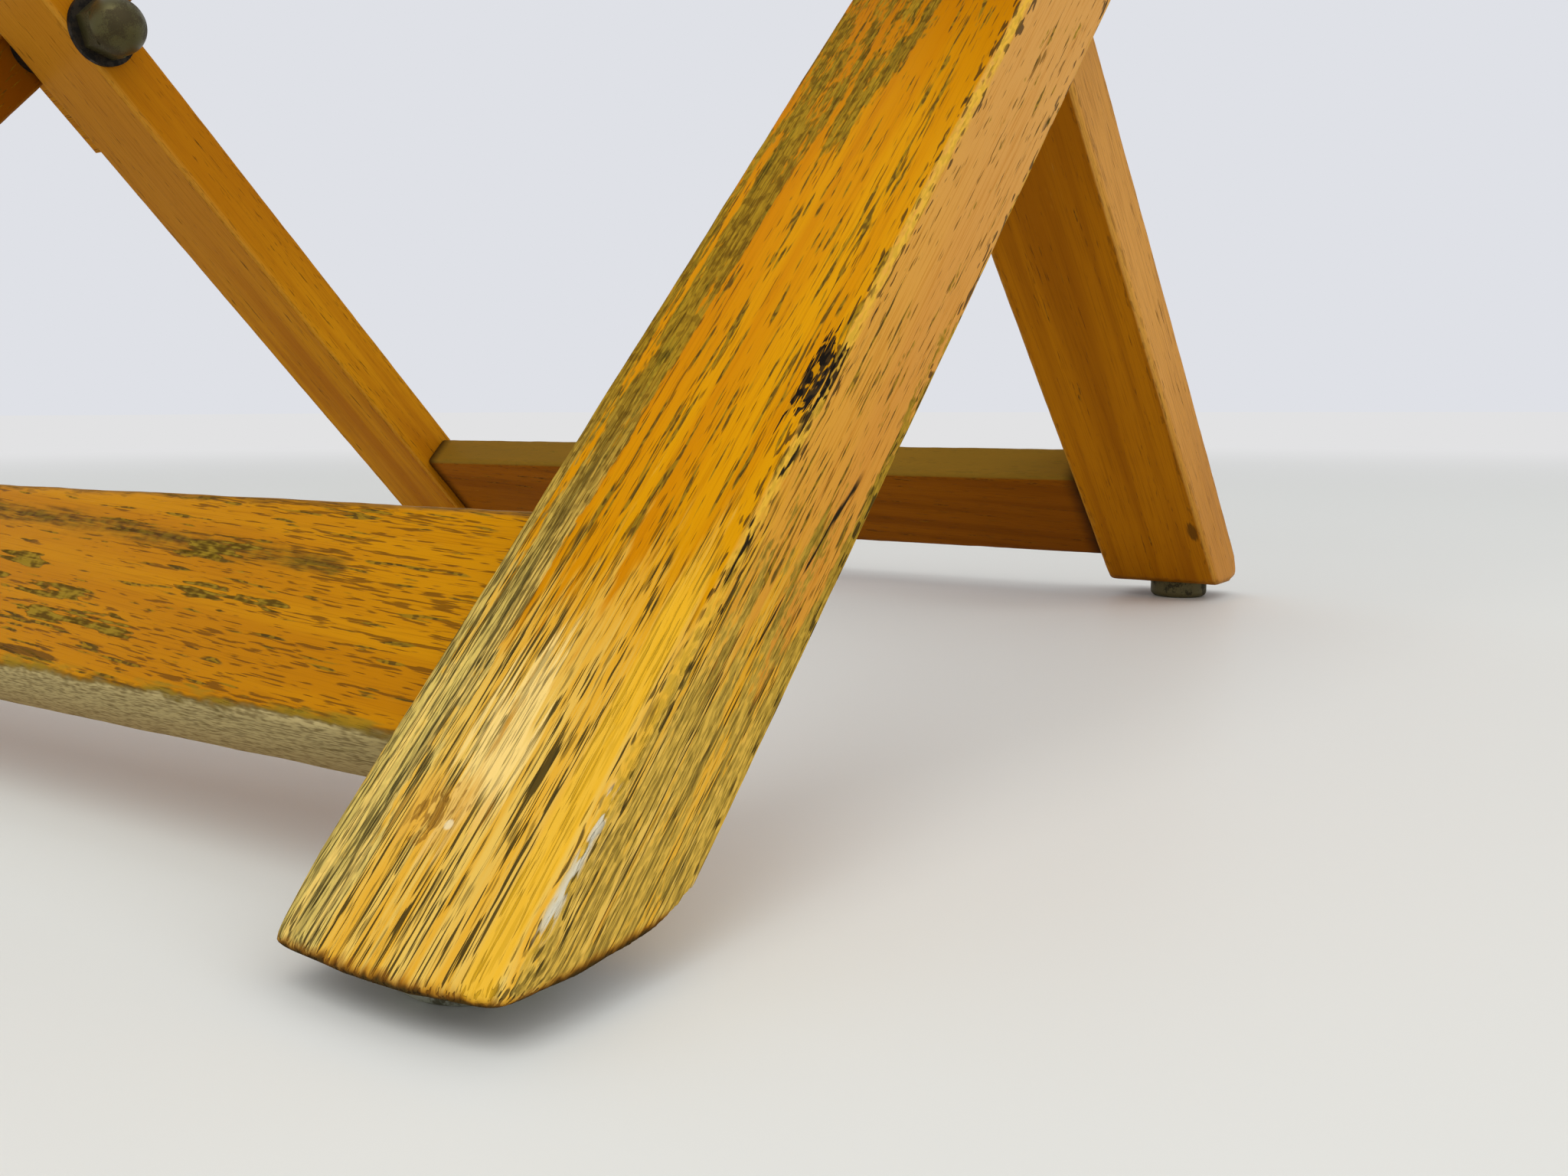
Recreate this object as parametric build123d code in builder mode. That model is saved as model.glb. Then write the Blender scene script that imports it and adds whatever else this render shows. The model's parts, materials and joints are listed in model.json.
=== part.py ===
from build123d import *
from math import atan2, cos, radians, sin, tan
import os

# Folding sawhorse: an outer and an inner ladder frame of hardwood that cross on two pivot bolts.
# X runs along the pivot axis, -Y is the front, the floor is Z 0 and the origin lies under the pivot.

# Stance, seen from the side: each leg's centre line runs from the floor up through the pivot
pivot_height = 210.0
foot_reach = 207.0
top_height = 420.0
clear_width = 416.0

# Legs
leg_width = 40.0
leg_depth = 22.0
leg_edge_radius = 1.5
outer_toe_height = 5.4
outer_heel_height = 7.5
outer_toe_radius = 0.8
outer_heel_radius = 25.0
inner_sole_height = 6.0
inner_toe_radius = 1.5
inner_heel_radius = 8.0
crown_radius = 4.0

# Rails, tenoned and pegged between the legs
lower_rail_up_leg = 28.7
lower_rail_height = 41.4
lower_rail_thickness = 15.0
top_rail_height = 50.0
top_rail_thickness = 18.0
rail_edge_radius = 1.5
tenon_length = 24.0
tenon_height = 28.0
tenon_thickness = 9.0
tenon_shoulder = 6.0
peg_diameter = 6.0
peg_length = 17.0

# Pivots: a round-head bolt held in each outer leg, with the inner leg running on it
bolt_diameter = 10.0
bolt_head_diameter = 24.6
bolt_head_height = 5.4
bolt_neck_length = 6.0
pivot_clearance = 0.05
running_gap = 0.1
spacer_thickness = 4.0
spacer_diameter = 21.0
washer_thickness = 2.0
washer_diameter = 26.0
washer_bore_clearance = 0.3
nut_across_flats = 19.0
nut_hex_height = 8.0
nut_dome_diameter = 20.8
nut_dome_height = 11.0
nut_thread_depth = 12.0

# Foot glides, each held by one nail
glide_diameter = 20.0
glide_edge_radius = 2.0
glide_from_toe = 17.8
outer_glide_from_rail_face = 19.0
inner_glide_from_rail_face = 21.8
nail_diameter = 3.0
nail_head_diameter = 7.0
nail_head_thickness = 1.5
nail_recess_depth = 2.5
nail_bite = 11.0

# Stop blocks, screwed behind the inner legs below the pivot, that come up against the outer legs
stop_gap = 0.1
stop_height = 42.0
stop_depth = 14.5
stop_overlap = 16.0
stop_inset = 2.0
stop_edge_radius = 2.0
screw_diameter = 4.5
screw_head_diameter = 8.6
screw_head_angle = 90.0
screw_slot_width = 1.2
screw_slot_depth = 1.0
screw_bite = 16.0
screw_spacing = 20.0

# Worked out from the sizes above; rises are measured up the leg from the pivot, drops down it
lean = atan2(foot_reach, pivot_height)
half_depth = leg_depth / 2
outer_inner_face = clear_width / 2
outer_outer_face = outer_inner_face + leg_width
inner_outer_face = outer_inner_face - spacer_thickness - running_gap
inner_inner_face = inner_outer_face - leg_width
washer_face = inner_inner_face - running_gap
nut_face = washer_face - washer_thickness
crown_rise = (top_height - pivot_height) / cos(lean)
lower_rail_rise = lower_rail_up_leg - pivot_height / cos(lean)
top_rail_rise = crown_rise - top_rail_height
tenon_middle = tenon_shoulder + tenon_height / 2
tenon_rises = (lower_rail_rise + tenon_middle, top_rail_rise + tenon_middle)
stop_root_drop = half_depth * tan(lean) + stop_gap / sin(2 * lean)
stop_face = half_depth + stop_depth * sin(2 * lean)
stop_start = inner_outer_face - stop_overlap
stop_width = outer_outer_face - stop_inset - stop_start
screw_x = stop_start + stop_overlap / 2
screw_middle_drop = stop_root_drop + stop_height / 2
screw_drops = (screw_middle_drop - screw_spacing / 2, screw_middle_drop + screw_spacing / 2)
pivot_axis = Axis((0, 0, pivot_height), (1, 0, 0))

OUTER = 1
INNER = -1
FRAMES = {"outer": OUTER, "inner": INNER}
SIDES = {"right": 1, "left": -1}


def up_leg(frame):
    """Direction up a frame's legs: the outer frame leans back as it rises, the inner one forward."""
    return Vector(0, frame * sin(lean), cos(lean))


def front_of(frame):
    """Direction out of a frame's front face."""
    return Vector(1, 0, 0).cross(up_leg(frame))


def face_plane(frame, depth):
    """Plane along a frame, depth in front of its centre line: X across, Y up the leg from the pivot."""
    return Plane((0, 0, pivot_height), x_dir=(1, 0, 0), z_dir=front_of(frame)).offset(depth)


def back_plane(frame, depth):
    """Plane along a frame, depth behind its centre line: X across, Y down the leg from the pivot."""
    return Plane((0, 0, pivot_height), x_dir=(1, 0, 0), z_dir=-front_of(frame)).offset(depth)


def end_plane(frame, x):
    """Plane square to X: its own X runs up the leg from the pivot, its Y out of the frame's front."""
    return Plane((x, 0, pivot_height), x_dir=up_leg(frame), z_dir=(1, 0, 0))


def level_rise(depth, height, frame):
    """Rise at which the leg line that lies depth in front of the centre line reaches a height."""
    return (height - pivot_height - depth * front_of(frame).Z) / cos(lean)


def leg_reach(frame):
    """X of the face of a frame's legs that its rails meet, on the right side."""
    return outer_inner_face if frame == OUTER else inner_inner_face


def toe_side(frame):
    """Depth of a leg's face that ends in the toe, the pointed end of the foot."""
    return frame * half_depth


def foot_point(frame, depth, height):
    """Where the leg line that lies depth in front of the centre line reaches a height."""
    rise = level_rise(depth, height, frame)
    return Vector(0, depth * front_of(frame).Y + rise * up_leg(frame).Y, height)


def toe_height(frame):
    """Height of the tips of a frame's toes."""
    return outer_toe_height if frame == OUTER else inner_sole_height


def heel_height(frame):
    """Height of a frame's heels, before they are rounded."""
    return outer_heel_height if frame == OUTER else inner_sole_height


def toe_point(frame):
    """Tip of a frame's toes."""
    return foot_point(frame, toe_side(frame), toe_height(frame))


def sole_run(frame):
    """From the tip of the toe along the sole to the heel."""
    return foot_point(frame, -toe_side(frame), heel_height(frame)) - toe_point(frame)


def sole_plane(frame):
    """Plane of a frame's soles, facing up."""
    return Plane(toe_point(frame), x_dir=(1, 0, 0), z_dir=Vector(1, 0, 0).cross(sole_run(frame)) * frame)


def sole_height(frame):
    """Height of the sole above a glide's centre."""
    return toe_height(frame) + glide_from_toe * sole_run(frame).Z / abs(sole_run(frame).Y)


def glide_y(frame):
    """Y of a glide's centre, measured back from the tip of the toe."""
    return toe_point(frame).Y + frame * glide_from_toe


def glide_x(frame):
    """X of a glide's centre on the right side."""
    return leg_reach(frame) + (outer_glide_from_rail_face if frame == OUTER else inner_glide_from_rail_face)


def peg_places(frame):
    """Peg centres on the right side, across and up the frame."""
    return [(leg_reach(frame) + tenon_length / 2, rise) for rise in tenon_rises]


def write_piece(builder, name):
    """Label a finished piece and write it as its own file."""
    builder.part.label = name
    export_step(builder.part, f"parts/{name}.step")


def edge_across(leg, frame, depth, height):
    """The edge along X of a leg's end, on the face that lies depth in front of the centre line."""
    corner = (level_rise(depth, height, frame), depth, 0)
    place = end_plane(frame, leg_reach(frame)).from_local_coords(corner)
    return leg.edges().filter_by(Axis.X).sort_by_distance(place)[0]


def make_leg(name, frame, side):
    """One leg with its sawn ends, mortises, peg holes, pivot bore and the holes for its nail and screws."""
    start = leg_reach(frame)
    toe = toe_side(frame)
    with BuildPart() as leg:
        with BuildSketch(end_plane(frame, start)):
            with BuildLine():
                Polyline(
                    (level_rise(toe, toe_height(frame), frame), toe),
                    (level_rise(toe, top_height, frame), toe),
                    (level_rise(-toe, top_height, frame), -toe),
                    (level_rise(-toe, heel_height(frame), frame), -toe),
                    close=True,
                )
            make_face()
        extrude(amount=leg_width)
        heel_radius = outer_heel_radius if frame == OUTER else inner_heel_radius
        toe_radius = outer_toe_radius if frame == OUTER else inner_toe_radius
        fillet(edge_across(leg, frame, -toe, heel_height(frame)), heel_radius)
        fillet(edge_across(leg, frame, toe, toe_height(frame)), toe_radius)
        fillet(edge_across(leg, frame, toe, top_height), crown_radius)
        fillet(leg.edges().filter_by(Axis((0, 0, 0), up_leg(frame))), leg_edge_radius)
        with BuildSketch(end_plane(frame, start)):
            with Locations(*[(rise, 0) for rise in tenon_rises]):
                Rectangle(tenon_height, tenon_thickness)
        extrude(amount=tenon_length, mode=Mode.SUBTRACT)
        with BuildSketch(face_plane(frame, -half_depth)):
            with Locations(*peg_places(frame)):
                Circle(peg_diameter / 2)
        extrude(amount=peg_length, mode=Mode.SUBTRACT)
        with BuildSketch(end_plane(frame, start)):
            Circle(bolt_diameter / 2 + (0 if frame == OUTER else pivot_clearance))
        extrude(amount=leg_width, mode=Mode.SUBTRACT)
        if frame == OUTER:
            with BuildSketch(end_plane(frame, outer_outer_face)):
                Rectangle(bolt_diameter, bolt_diameter)
            extrude(amount=-bolt_neck_length, mode=Mode.SUBTRACT)
        else:
            with BuildSketch(back_plane(frame, half_depth)):
                with Locations(*[(screw_x, drop) for drop in screw_drops]):
                    Circle(screw_diameter / 2)
            extrude(amount=-screw_bite, mode=Mode.SUBTRACT)
        with BuildSketch(Plane.XY):
            with Locations((glide_x(frame), glide_y(frame))):
                Circle(nail_diameter / 2)
        extrude(amount=sole_height(frame) + nail_bite, mode=Mode.SUBTRACT)
        if side < 0:
            mirror(about=Plane.YZ, mode=Mode.REPLACE)
    write_piece(leg, name)


def make_rail(name, frame, corners, rounded, tenon_rise):
    """A rail between the two legs of a frame, with a pegged tenon at each end.

    The corners of its section are given as rise and depth, and the rounded ones are softened.
    """
    reach = leg_reach(frame)
    peg_x = reach + tenon_length / 2
    with BuildPart() as rail:
        with BuildSketch(end_plane(frame, -reach)) as outline:
            with BuildLine():
                Polyline(*corners, close=True)
            make_face()
            for place in rounded:
                fillet(outline.vertices().sort_by_distance(place)[0], rail_edge_radius)
        extrude(amount=2 * reach)
        with BuildSketch(end_plane(frame, -reach - tenon_length)):
            with Locations((tenon_rise, 0)):
                Rectangle(tenon_height, tenon_thickness)
        extrude(amount=2 * (reach + tenon_length))
        with BuildSketch(face_plane(frame, 0)):
            with Locations((peg_x, tenon_rise), (-peg_x, tenon_rise)):
                Circle(peg_diameter / 2)
        extrude(amount=tenon_thickness, both=True, mode=Mode.SUBTRACT)
    write_piece(rail, name)


def make_lower_rail(name, frame):
    """Lower rail: a flat board with all four edges rounded."""
    half = lower_rail_thickness / 2
    high = lower_rail_rise + lower_rail_height
    corners = [(lower_rail_rise, half), (high, half), (high, -half), (lower_rail_rise, -half)]
    make_rail(name, frame, corners, corners, tenon_rises[0])


def make_top_rail(name, frame):
    """Top rail: a stouter board whose top edge is planed level with the leg tops."""
    half = top_rail_thickness / 2
    low_corners = [(top_rail_rise, -half), (top_rail_rise, half)]
    level_corners = [(level_rise(depth, top_height, frame), depth) for depth in (half, -half)]
    make_rail(name, frame, low_corners + level_corners, low_corners, tenon_rises[1])


def make_pegs(name, frame):
    """The pegs of one frame, driven through the tenons from the frame's back face."""
    with BuildPart() as pegs:
        with BuildSketch(face_plane(frame, -half_depth)):
            with Locations(*peg_places(frame)):
                Circle(peg_diameter / 2)
        extrude(amount=peg_length)
        mirror(about=Plane.YZ)
    write_piece(pegs, name)


def make_bolt(name, side):
    """Pivot bolt: round head outside the outer leg, square neck in it, and a shank into the cap nut."""
    head_radius = bolt_head_diameter / 2
    dome_radius = (head_radius ** 2 + bolt_head_height ** 2) / (2 * bolt_head_height)
    shank_end = nut_face - nut_thread_depth
    with BuildPart() as bolt:
        with BuildSketch(Plane((0, 0, pivot_height), x_dir=(1, 0, 0), z_dir=(0, -1, 0))):
            with BuildLine():
                rim = Polyline(
                    (outer_outer_face + bolt_head_height, 0),
                    (shank_end, 0),
                    (shank_end, bolt_diameter / 2),
                    (outer_outer_face, bolt_diameter / 2),
                    (outer_outer_face, head_radius),
                )
                RadiusArc(rim @ 1, rim @ 0, dome_radius)
            make_face()
        revolve(axis=pivot_axis)
        with BuildSketch(end_plane(OUTER, outer_outer_face)):
            Rectangle(bolt_diameter, bolt_diameter)
        extrude(amount=-bolt_neck_length)
        if side < 0:
            mirror(about=Plane.YZ, mode=Mode.REPLACE)
    write_piece(bolt, name)


def make_ring(name, side, outer_face, thickness, diameter):
    """A flat washer on the pivot bolt, from its outer face inwards."""
    with BuildPart() as ring:
        with BuildSketch(end_plane(OUTER, outer_face)):
            Circle(diameter / 2)
            Circle(bolt_diameter / 2 + washer_bore_clearance, mode=Mode.SUBTRACT)
        extrude(amount=-thickness)
        if side < 0:
            mirror(about=Plane.YZ, mode=Mode.REPLACE)
    write_piece(ring, name)


def make_cap_nut(name, side):
    """Domed cap nut on the pivot bolt's inner end."""
    hex_end = nut_face - nut_hex_height
    dome_radius = nut_dome_diameter / 2
    with BuildPart() as nut:
        with BuildSketch(end_plane(OUTER, nut_face)):
            RegularPolygon(nut_across_flats / 2, 6, major_radius=False)
        extrude(amount=-nut_hex_height)
        with BuildSketch(Plane((0, 0, pivot_height), x_dir=(1, 0, 0), z_dir=(0, -1, 0))):
            with BuildLine():
                base = Line((hex_end, 0), (hex_end, dome_radius))
                crown = (hex_end - nut_dome_height, 0)
                EllipticalCenterArc(base @ 0, nut_dome_height, dome_radius, start_angle=90, arc_size=90)
                Line(crown, base @ 0)
            make_face()
        revolve(axis=pivot_axis)
        with BuildSketch(end_plane(OUTER, nut_face)):
            Circle(bolt_diameter / 2)
        extrude(amount=-nut_thread_depth, mode=Mode.SUBTRACT)
        if side < 0:
            mirror(about=Plane.YZ, mode=Mode.REPLACE)
    write_piece(nut, name)


def make_glide(name, frame, side):
    """Round foot glide with a softened tread and a recess for its nail."""
    with BuildPart() as glide:
        with BuildSketch(Plane.XY):
            with Locations((glide_x(frame), glide_y(frame))):
                Circle(glide_diameter / 2)
        extrude(amount=2 * heel_height(frame))
        split(bisect_by=sole_plane(frame), keep=Keep.BOTTOM)
        fillet(glide.edges().sort_by(Axis.Z)[0], glide_edge_radius)
        with Locations((glide_x(frame), glide_y(frame), 0)):
            Cylinder(nail_head_diameter / 2, nail_recess_depth, mode=Mode.SUBTRACT,
                     align=(Align.CENTER, Align.CENTER, Align.MIN))
            Cylinder(nail_diameter / 2, 2 * heel_height(frame), mode=Mode.SUBTRACT,
                     align=(Align.CENTER, Align.CENTER, Align.MIN))
        if side < 0:
            mirror(about=Plane.YZ, mode=Mode.REPLACE)
    write_piece(glide, name)


def make_nails(name, frame):
    """The glide nails of one frame, with their heads sunk in the glides."""
    head_base = nail_recess_depth - nail_head_thickness
    nail_length = sole_height(frame) - nail_recess_depth + nail_bite
    with BuildPart() as nails:
        with Locations((glide_x(frame), glide_y(frame), head_base)):
            Cylinder(nail_head_diameter / 2, nail_head_thickness,
                     align=(Align.CENTER, Align.CENTER, Align.MIN))
        with Locations((glide_x(frame), glide_y(frame), nail_recess_depth)):
            Cylinder(nail_diameter / 2, nail_length, align=(Align.CENTER, Align.CENTER, Align.MIN))
        mirror(about=Plane.YZ)
    write_piece(nails, name)


def make_stop_block(name, side):
    """Stop block: sits on the inner leg's back face and meets the outer leg's back face when open."""
    up_outer_leg = up_leg(OUTER) * stop_depth
    root = up_leg(INNER) * -stop_root_drop - front_of(INNER) * half_depth
    corners = [root, root - up_leg(INNER) * stop_height]
    corners += [point + up_outer_leg for point in reversed(corners)]
    with BuildPart() as block:
        with BuildSketch(Plane((stop_start, 0, pivot_height), x_dir=(0, 1, 0), z_dir=(1, 0, 0))):
            with BuildLine():
                Polyline(*[(point.Y, point.Z) for point in corners], close=True)
            make_face()
        extrude(amount=stop_width)
        outer_face = block.faces().sort_by(Axis((0, 0, 0), front_of(INNER)))[0]
        fillet(outer_face.edges(), stop_edge_radius)
        with Locations(back_plane(INNER, stop_face)):
            with Locations(*[(screw_x, drop, 0) for drop in screw_drops]):
                CounterSinkHole(screw_diameter / 2, screw_head_diameter / 2, stop_face, screw_head_angle)
        if side < 0:
            mirror(about=Plane.YZ, mode=Mode.REPLACE)
    write_piece(block, name)


def make_stop_screws(name):
    """Countersunk slotted screws that hold the stop blocks."""
    head_depth = (screw_head_diameter - screw_diameter) / 2 / tan(radians(screw_head_angle / 2))
    screw_length = stop_face - half_depth + screw_bite
    with BuildPart() as screws:
        with Locations(back_plane(INNER, stop_face)):
            with Locations(*[(screw_x, drop, 0) for drop in screw_drops]):
                Cylinder(screw_diameter / 2, screw_length, align=(Align.CENTER, Align.CENTER, Align.MAX))
                Cone(screw_diameter / 2, screw_head_diameter / 2, head_depth,
                     align=(Align.CENTER, Align.CENTER, Align.MAX))
                Box(screw_head_diameter, screw_slot_width, screw_slot_depth, mode=Mode.SUBTRACT,
                    align=(Align.CENTER, Align.CENTER, Align.MAX))
        mirror(about=Plane.YZ)
    write_piece(screws, name)


os.makedirs("parts", exist_ok=True)
for frame_name, frame_sign in FRAMES.items():
    make_lower_rail(f"{frame_name}_lower_rail", frame_sign)
    make_top_rail(f"{frame_name}_top_rail", frame_sign)
    make_pegs(f"{frame_name}_rail_pegs", frame_sign)
    make_nails(f"{frame_name}_glide_nails", frame_sign)
    for side_name, side_sign in SIDES.items():
        make_leg(f"{frame_name}_leg_{side_name}", frame_sign, side_sign)
        make_glide(f"{frame_name}_glide_{side_name}", frame_sign, side_sign)
for side_name, side_sign in SIDES.items():
    make_bolt(f"pivot_bolt_{side_name}", side_sign)
    make_ring(f"pivot_spacer_{side_name}", side_sign, outer_inner_face, spacer_thickness, spacer_diameter)
    make_ring(f"pivot_washer_{side_name}", side_sign, washer_face, washer_thickness, washer_diameter)
    make_cap_nut(f"pivot_cap_nut_{side_name}", side_sign)
    make_stop_block(f"stop_block_{side_name}", side_sign)
make_stop_screws("stop_screws")
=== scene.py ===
"""Looks of a low folding sawhorse: worn varnished hardwood frames, bronzed pivots and metal foot glides."""

import json
import logging
import math
from dataclasses import dataclass, field, replace
from enum import Enum
from functools import cached_property, reduce
from typing import Any, Callable, Optional, Union

import bmesh
import bpy
from mathutils import Euler, Matrix, Vector


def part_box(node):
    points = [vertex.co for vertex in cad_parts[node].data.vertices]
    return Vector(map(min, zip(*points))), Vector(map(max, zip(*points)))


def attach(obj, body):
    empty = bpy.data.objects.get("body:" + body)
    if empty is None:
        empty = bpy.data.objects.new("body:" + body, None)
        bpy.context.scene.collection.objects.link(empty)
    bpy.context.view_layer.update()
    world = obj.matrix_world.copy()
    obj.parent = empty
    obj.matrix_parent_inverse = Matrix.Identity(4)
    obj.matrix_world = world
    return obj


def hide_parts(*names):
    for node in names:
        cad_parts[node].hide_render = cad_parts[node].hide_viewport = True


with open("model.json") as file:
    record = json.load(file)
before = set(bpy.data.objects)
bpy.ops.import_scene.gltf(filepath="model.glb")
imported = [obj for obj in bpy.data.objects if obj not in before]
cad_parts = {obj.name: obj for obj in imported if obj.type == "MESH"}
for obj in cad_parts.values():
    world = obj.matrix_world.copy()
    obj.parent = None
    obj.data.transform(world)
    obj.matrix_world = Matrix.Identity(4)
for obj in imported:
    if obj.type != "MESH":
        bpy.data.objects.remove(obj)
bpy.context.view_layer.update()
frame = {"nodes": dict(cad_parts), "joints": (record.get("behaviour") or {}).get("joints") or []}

log = logging.getLogger("sawhorse")

# Lengths are in metres, patterns in millimetres and tones as they look on a screen, from 0 to 255
MM = 0.001
PER_METRE = 1000.0

# Stance, as in the solids: each leg's centre line runs from the floor up through the pivot
PIVOT_HEIGHT = frame["joints"][0]["pos_m"][2]
FOOT_REACH = 207 * MM
TOP_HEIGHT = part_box("outer_leg_right")[1].z
LEAN = math.atan2(FOOT_REACH, PIVOT_HEIGHT)
LEG_DEPTH = 22 * MM
LEG_LENGTH_BELOW = PIVOT_HEIGHT / math.cos(LEAN)
CROWN_RISE = (TOP_HEIGHT - PIVOT_HEIGHT) / math.cos(LEAN)
LOWER_RAIL_UP_LEG = 28.7 * MM
LOWER_RAIL_HEIGHT = 41.4 * MM
TOP_RAIL_HEIGHT = 50 * MM
PEG_ACROSS = -8.0
PEG_RADIUS = 3.0
PEG_RISE_IN_RAIL = 20.0

# Meshes: size of their faces, when two places count as one, room left under the top, width of worn edges
VOXEL = 1.0 * MM
NEAR = 0.02 * MM
SPARE = 0.3 * MM
WORN_EDGE = 3.5 * MM

# Surfaces
NOISE_MIDDLE = 0.5
WOOD_RELIEF = 0.22 * MM
WOOD_GLOSS = 0.015
COAT_ROUGHNESS = 0.2
WANDER_ACROSS, WANDER_ALONG, WANDER_SIZE = 45.0, 170.0, 4.0
METAL_RELIEF = 0.06 * MM

# Numbers of a colour Mix node's sockets
MIX_UNDER, MIX_OVER, MIX_RESULT = 6, 7, 2

Tone = tuple[int, int, int]
Piece = bpy.types.Object


def linear(tone: Tone) -> tuple[float, ...]:
    """A screen tone as a linear colour with a full alpha."""
    shares = (channel / 255 for channel in tone)
    return (*(s / 12.92 if s <= 0.04045 else ((s + 0.055) / 1.055) ** 2.4 for s in shares), 1.0)


class Way(Enum):
    """Which way a frame leans as it rises."""

    BACK = 1
    FORWARD = -1


class Side(Enum):
    """Side of the sawhorse, as the sign of X."""

    RIGHT = 1
    LEFT = -1


class Pattern(Enum):
    """Noises of the wood: size across and along the grain in millimetres, and detail."""

    HAIR = (0.32, 18.0, 1.0)
    SPECK = (0.42, 1.5, 0.0)
    DASH = (0.4, 6.5, 1.0)
    FLECK = (1.2, 17.0, 1.0)
    CRACK = (0.42, 14.0, 1.0)
    RING = (1.7, 150.0, 1.0)
    BAND = (4.5, 240.0, 1.0)
    PATCH = (2.3, 60.0, 1.0)
    BLOT = (2.1, 11.0, 1.0)
    CHIP = (0.75, 5.0, 1.0)
    TONE = (20.0, 150.0, 1.0)
    PEEL = (1.5, 2.6, 1.0)
    TICK = (0.62, 8.0, 0.0)
    STRAND = (1.3, 34.0, 1.0)


# Heights of the toe and of the heel before they are rubbed round
SOLES = {Way.BACK: (5.0 * MM, 7.3 * MM), Way.FORWARD: (5.6 * MM, 6.0 * MM)}


def sole_ends(way: Way) -> tuple[Vector, Vector]:
    """Ends of a sole.

    Args:
        way: Which way the legs lean.

    Returns:
        Toe and heel of the legs as they stand upright about the pivot, in the plane X = 0.
    """
    ends = []
    for side, height in zip((-1, 1), SOLES[way]):
        depth = side * way.value * LEG_DEPTH / 2
        rise = (height - PIVOT_HEIGHT + way.value * depth * math.sin(LEAN)) / math.cos(LEAN)
        ends.append(Vector((0, depth, rise)))
    return ends[0], ends[1]


class Field:
    """A value that varies over a surface. Arithmetic on it adds Math nodes."""

    def __init__(self, paint: "Paint", socket: bpy.types.NodeSocket) -> None:
        """Wrap an output socket of a node tree."""
        self.paint = paint
        self.socket = socket

    def __add__(self, other: "Value") -> "Field":
        """Sum."""
        return self.paint.math("ADD", self, other)

    __radd__ = __add__

    def __mul__(self, other: "Value") -> "Field":
        """Product."""
        return self.paint.math("MULTIPLY", self, other)

    __rmul__ = __mul__

    def __sub__(self, other: "Value") -> "Field":
        """Difference."""
        return self.paint.math("SUBTRACT", self, other)

    def __rsub__(self, other: "Value") -> "Field":
        """Difference from a number."""
        return self.paint.math("SUBTRACT", other, self)

    def __truediv__(self, other: "Value") -> "Field":
        """Quotient."""
        return self.paint.math("DIVIDE", self, other)

    def __abs__(self) -> "Field":
        """Size without sign."""
        return self.paint.math("ABSOLUTE", self)


Value = Union[float, Field]
Tint = Union[Tone, Field]


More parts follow.
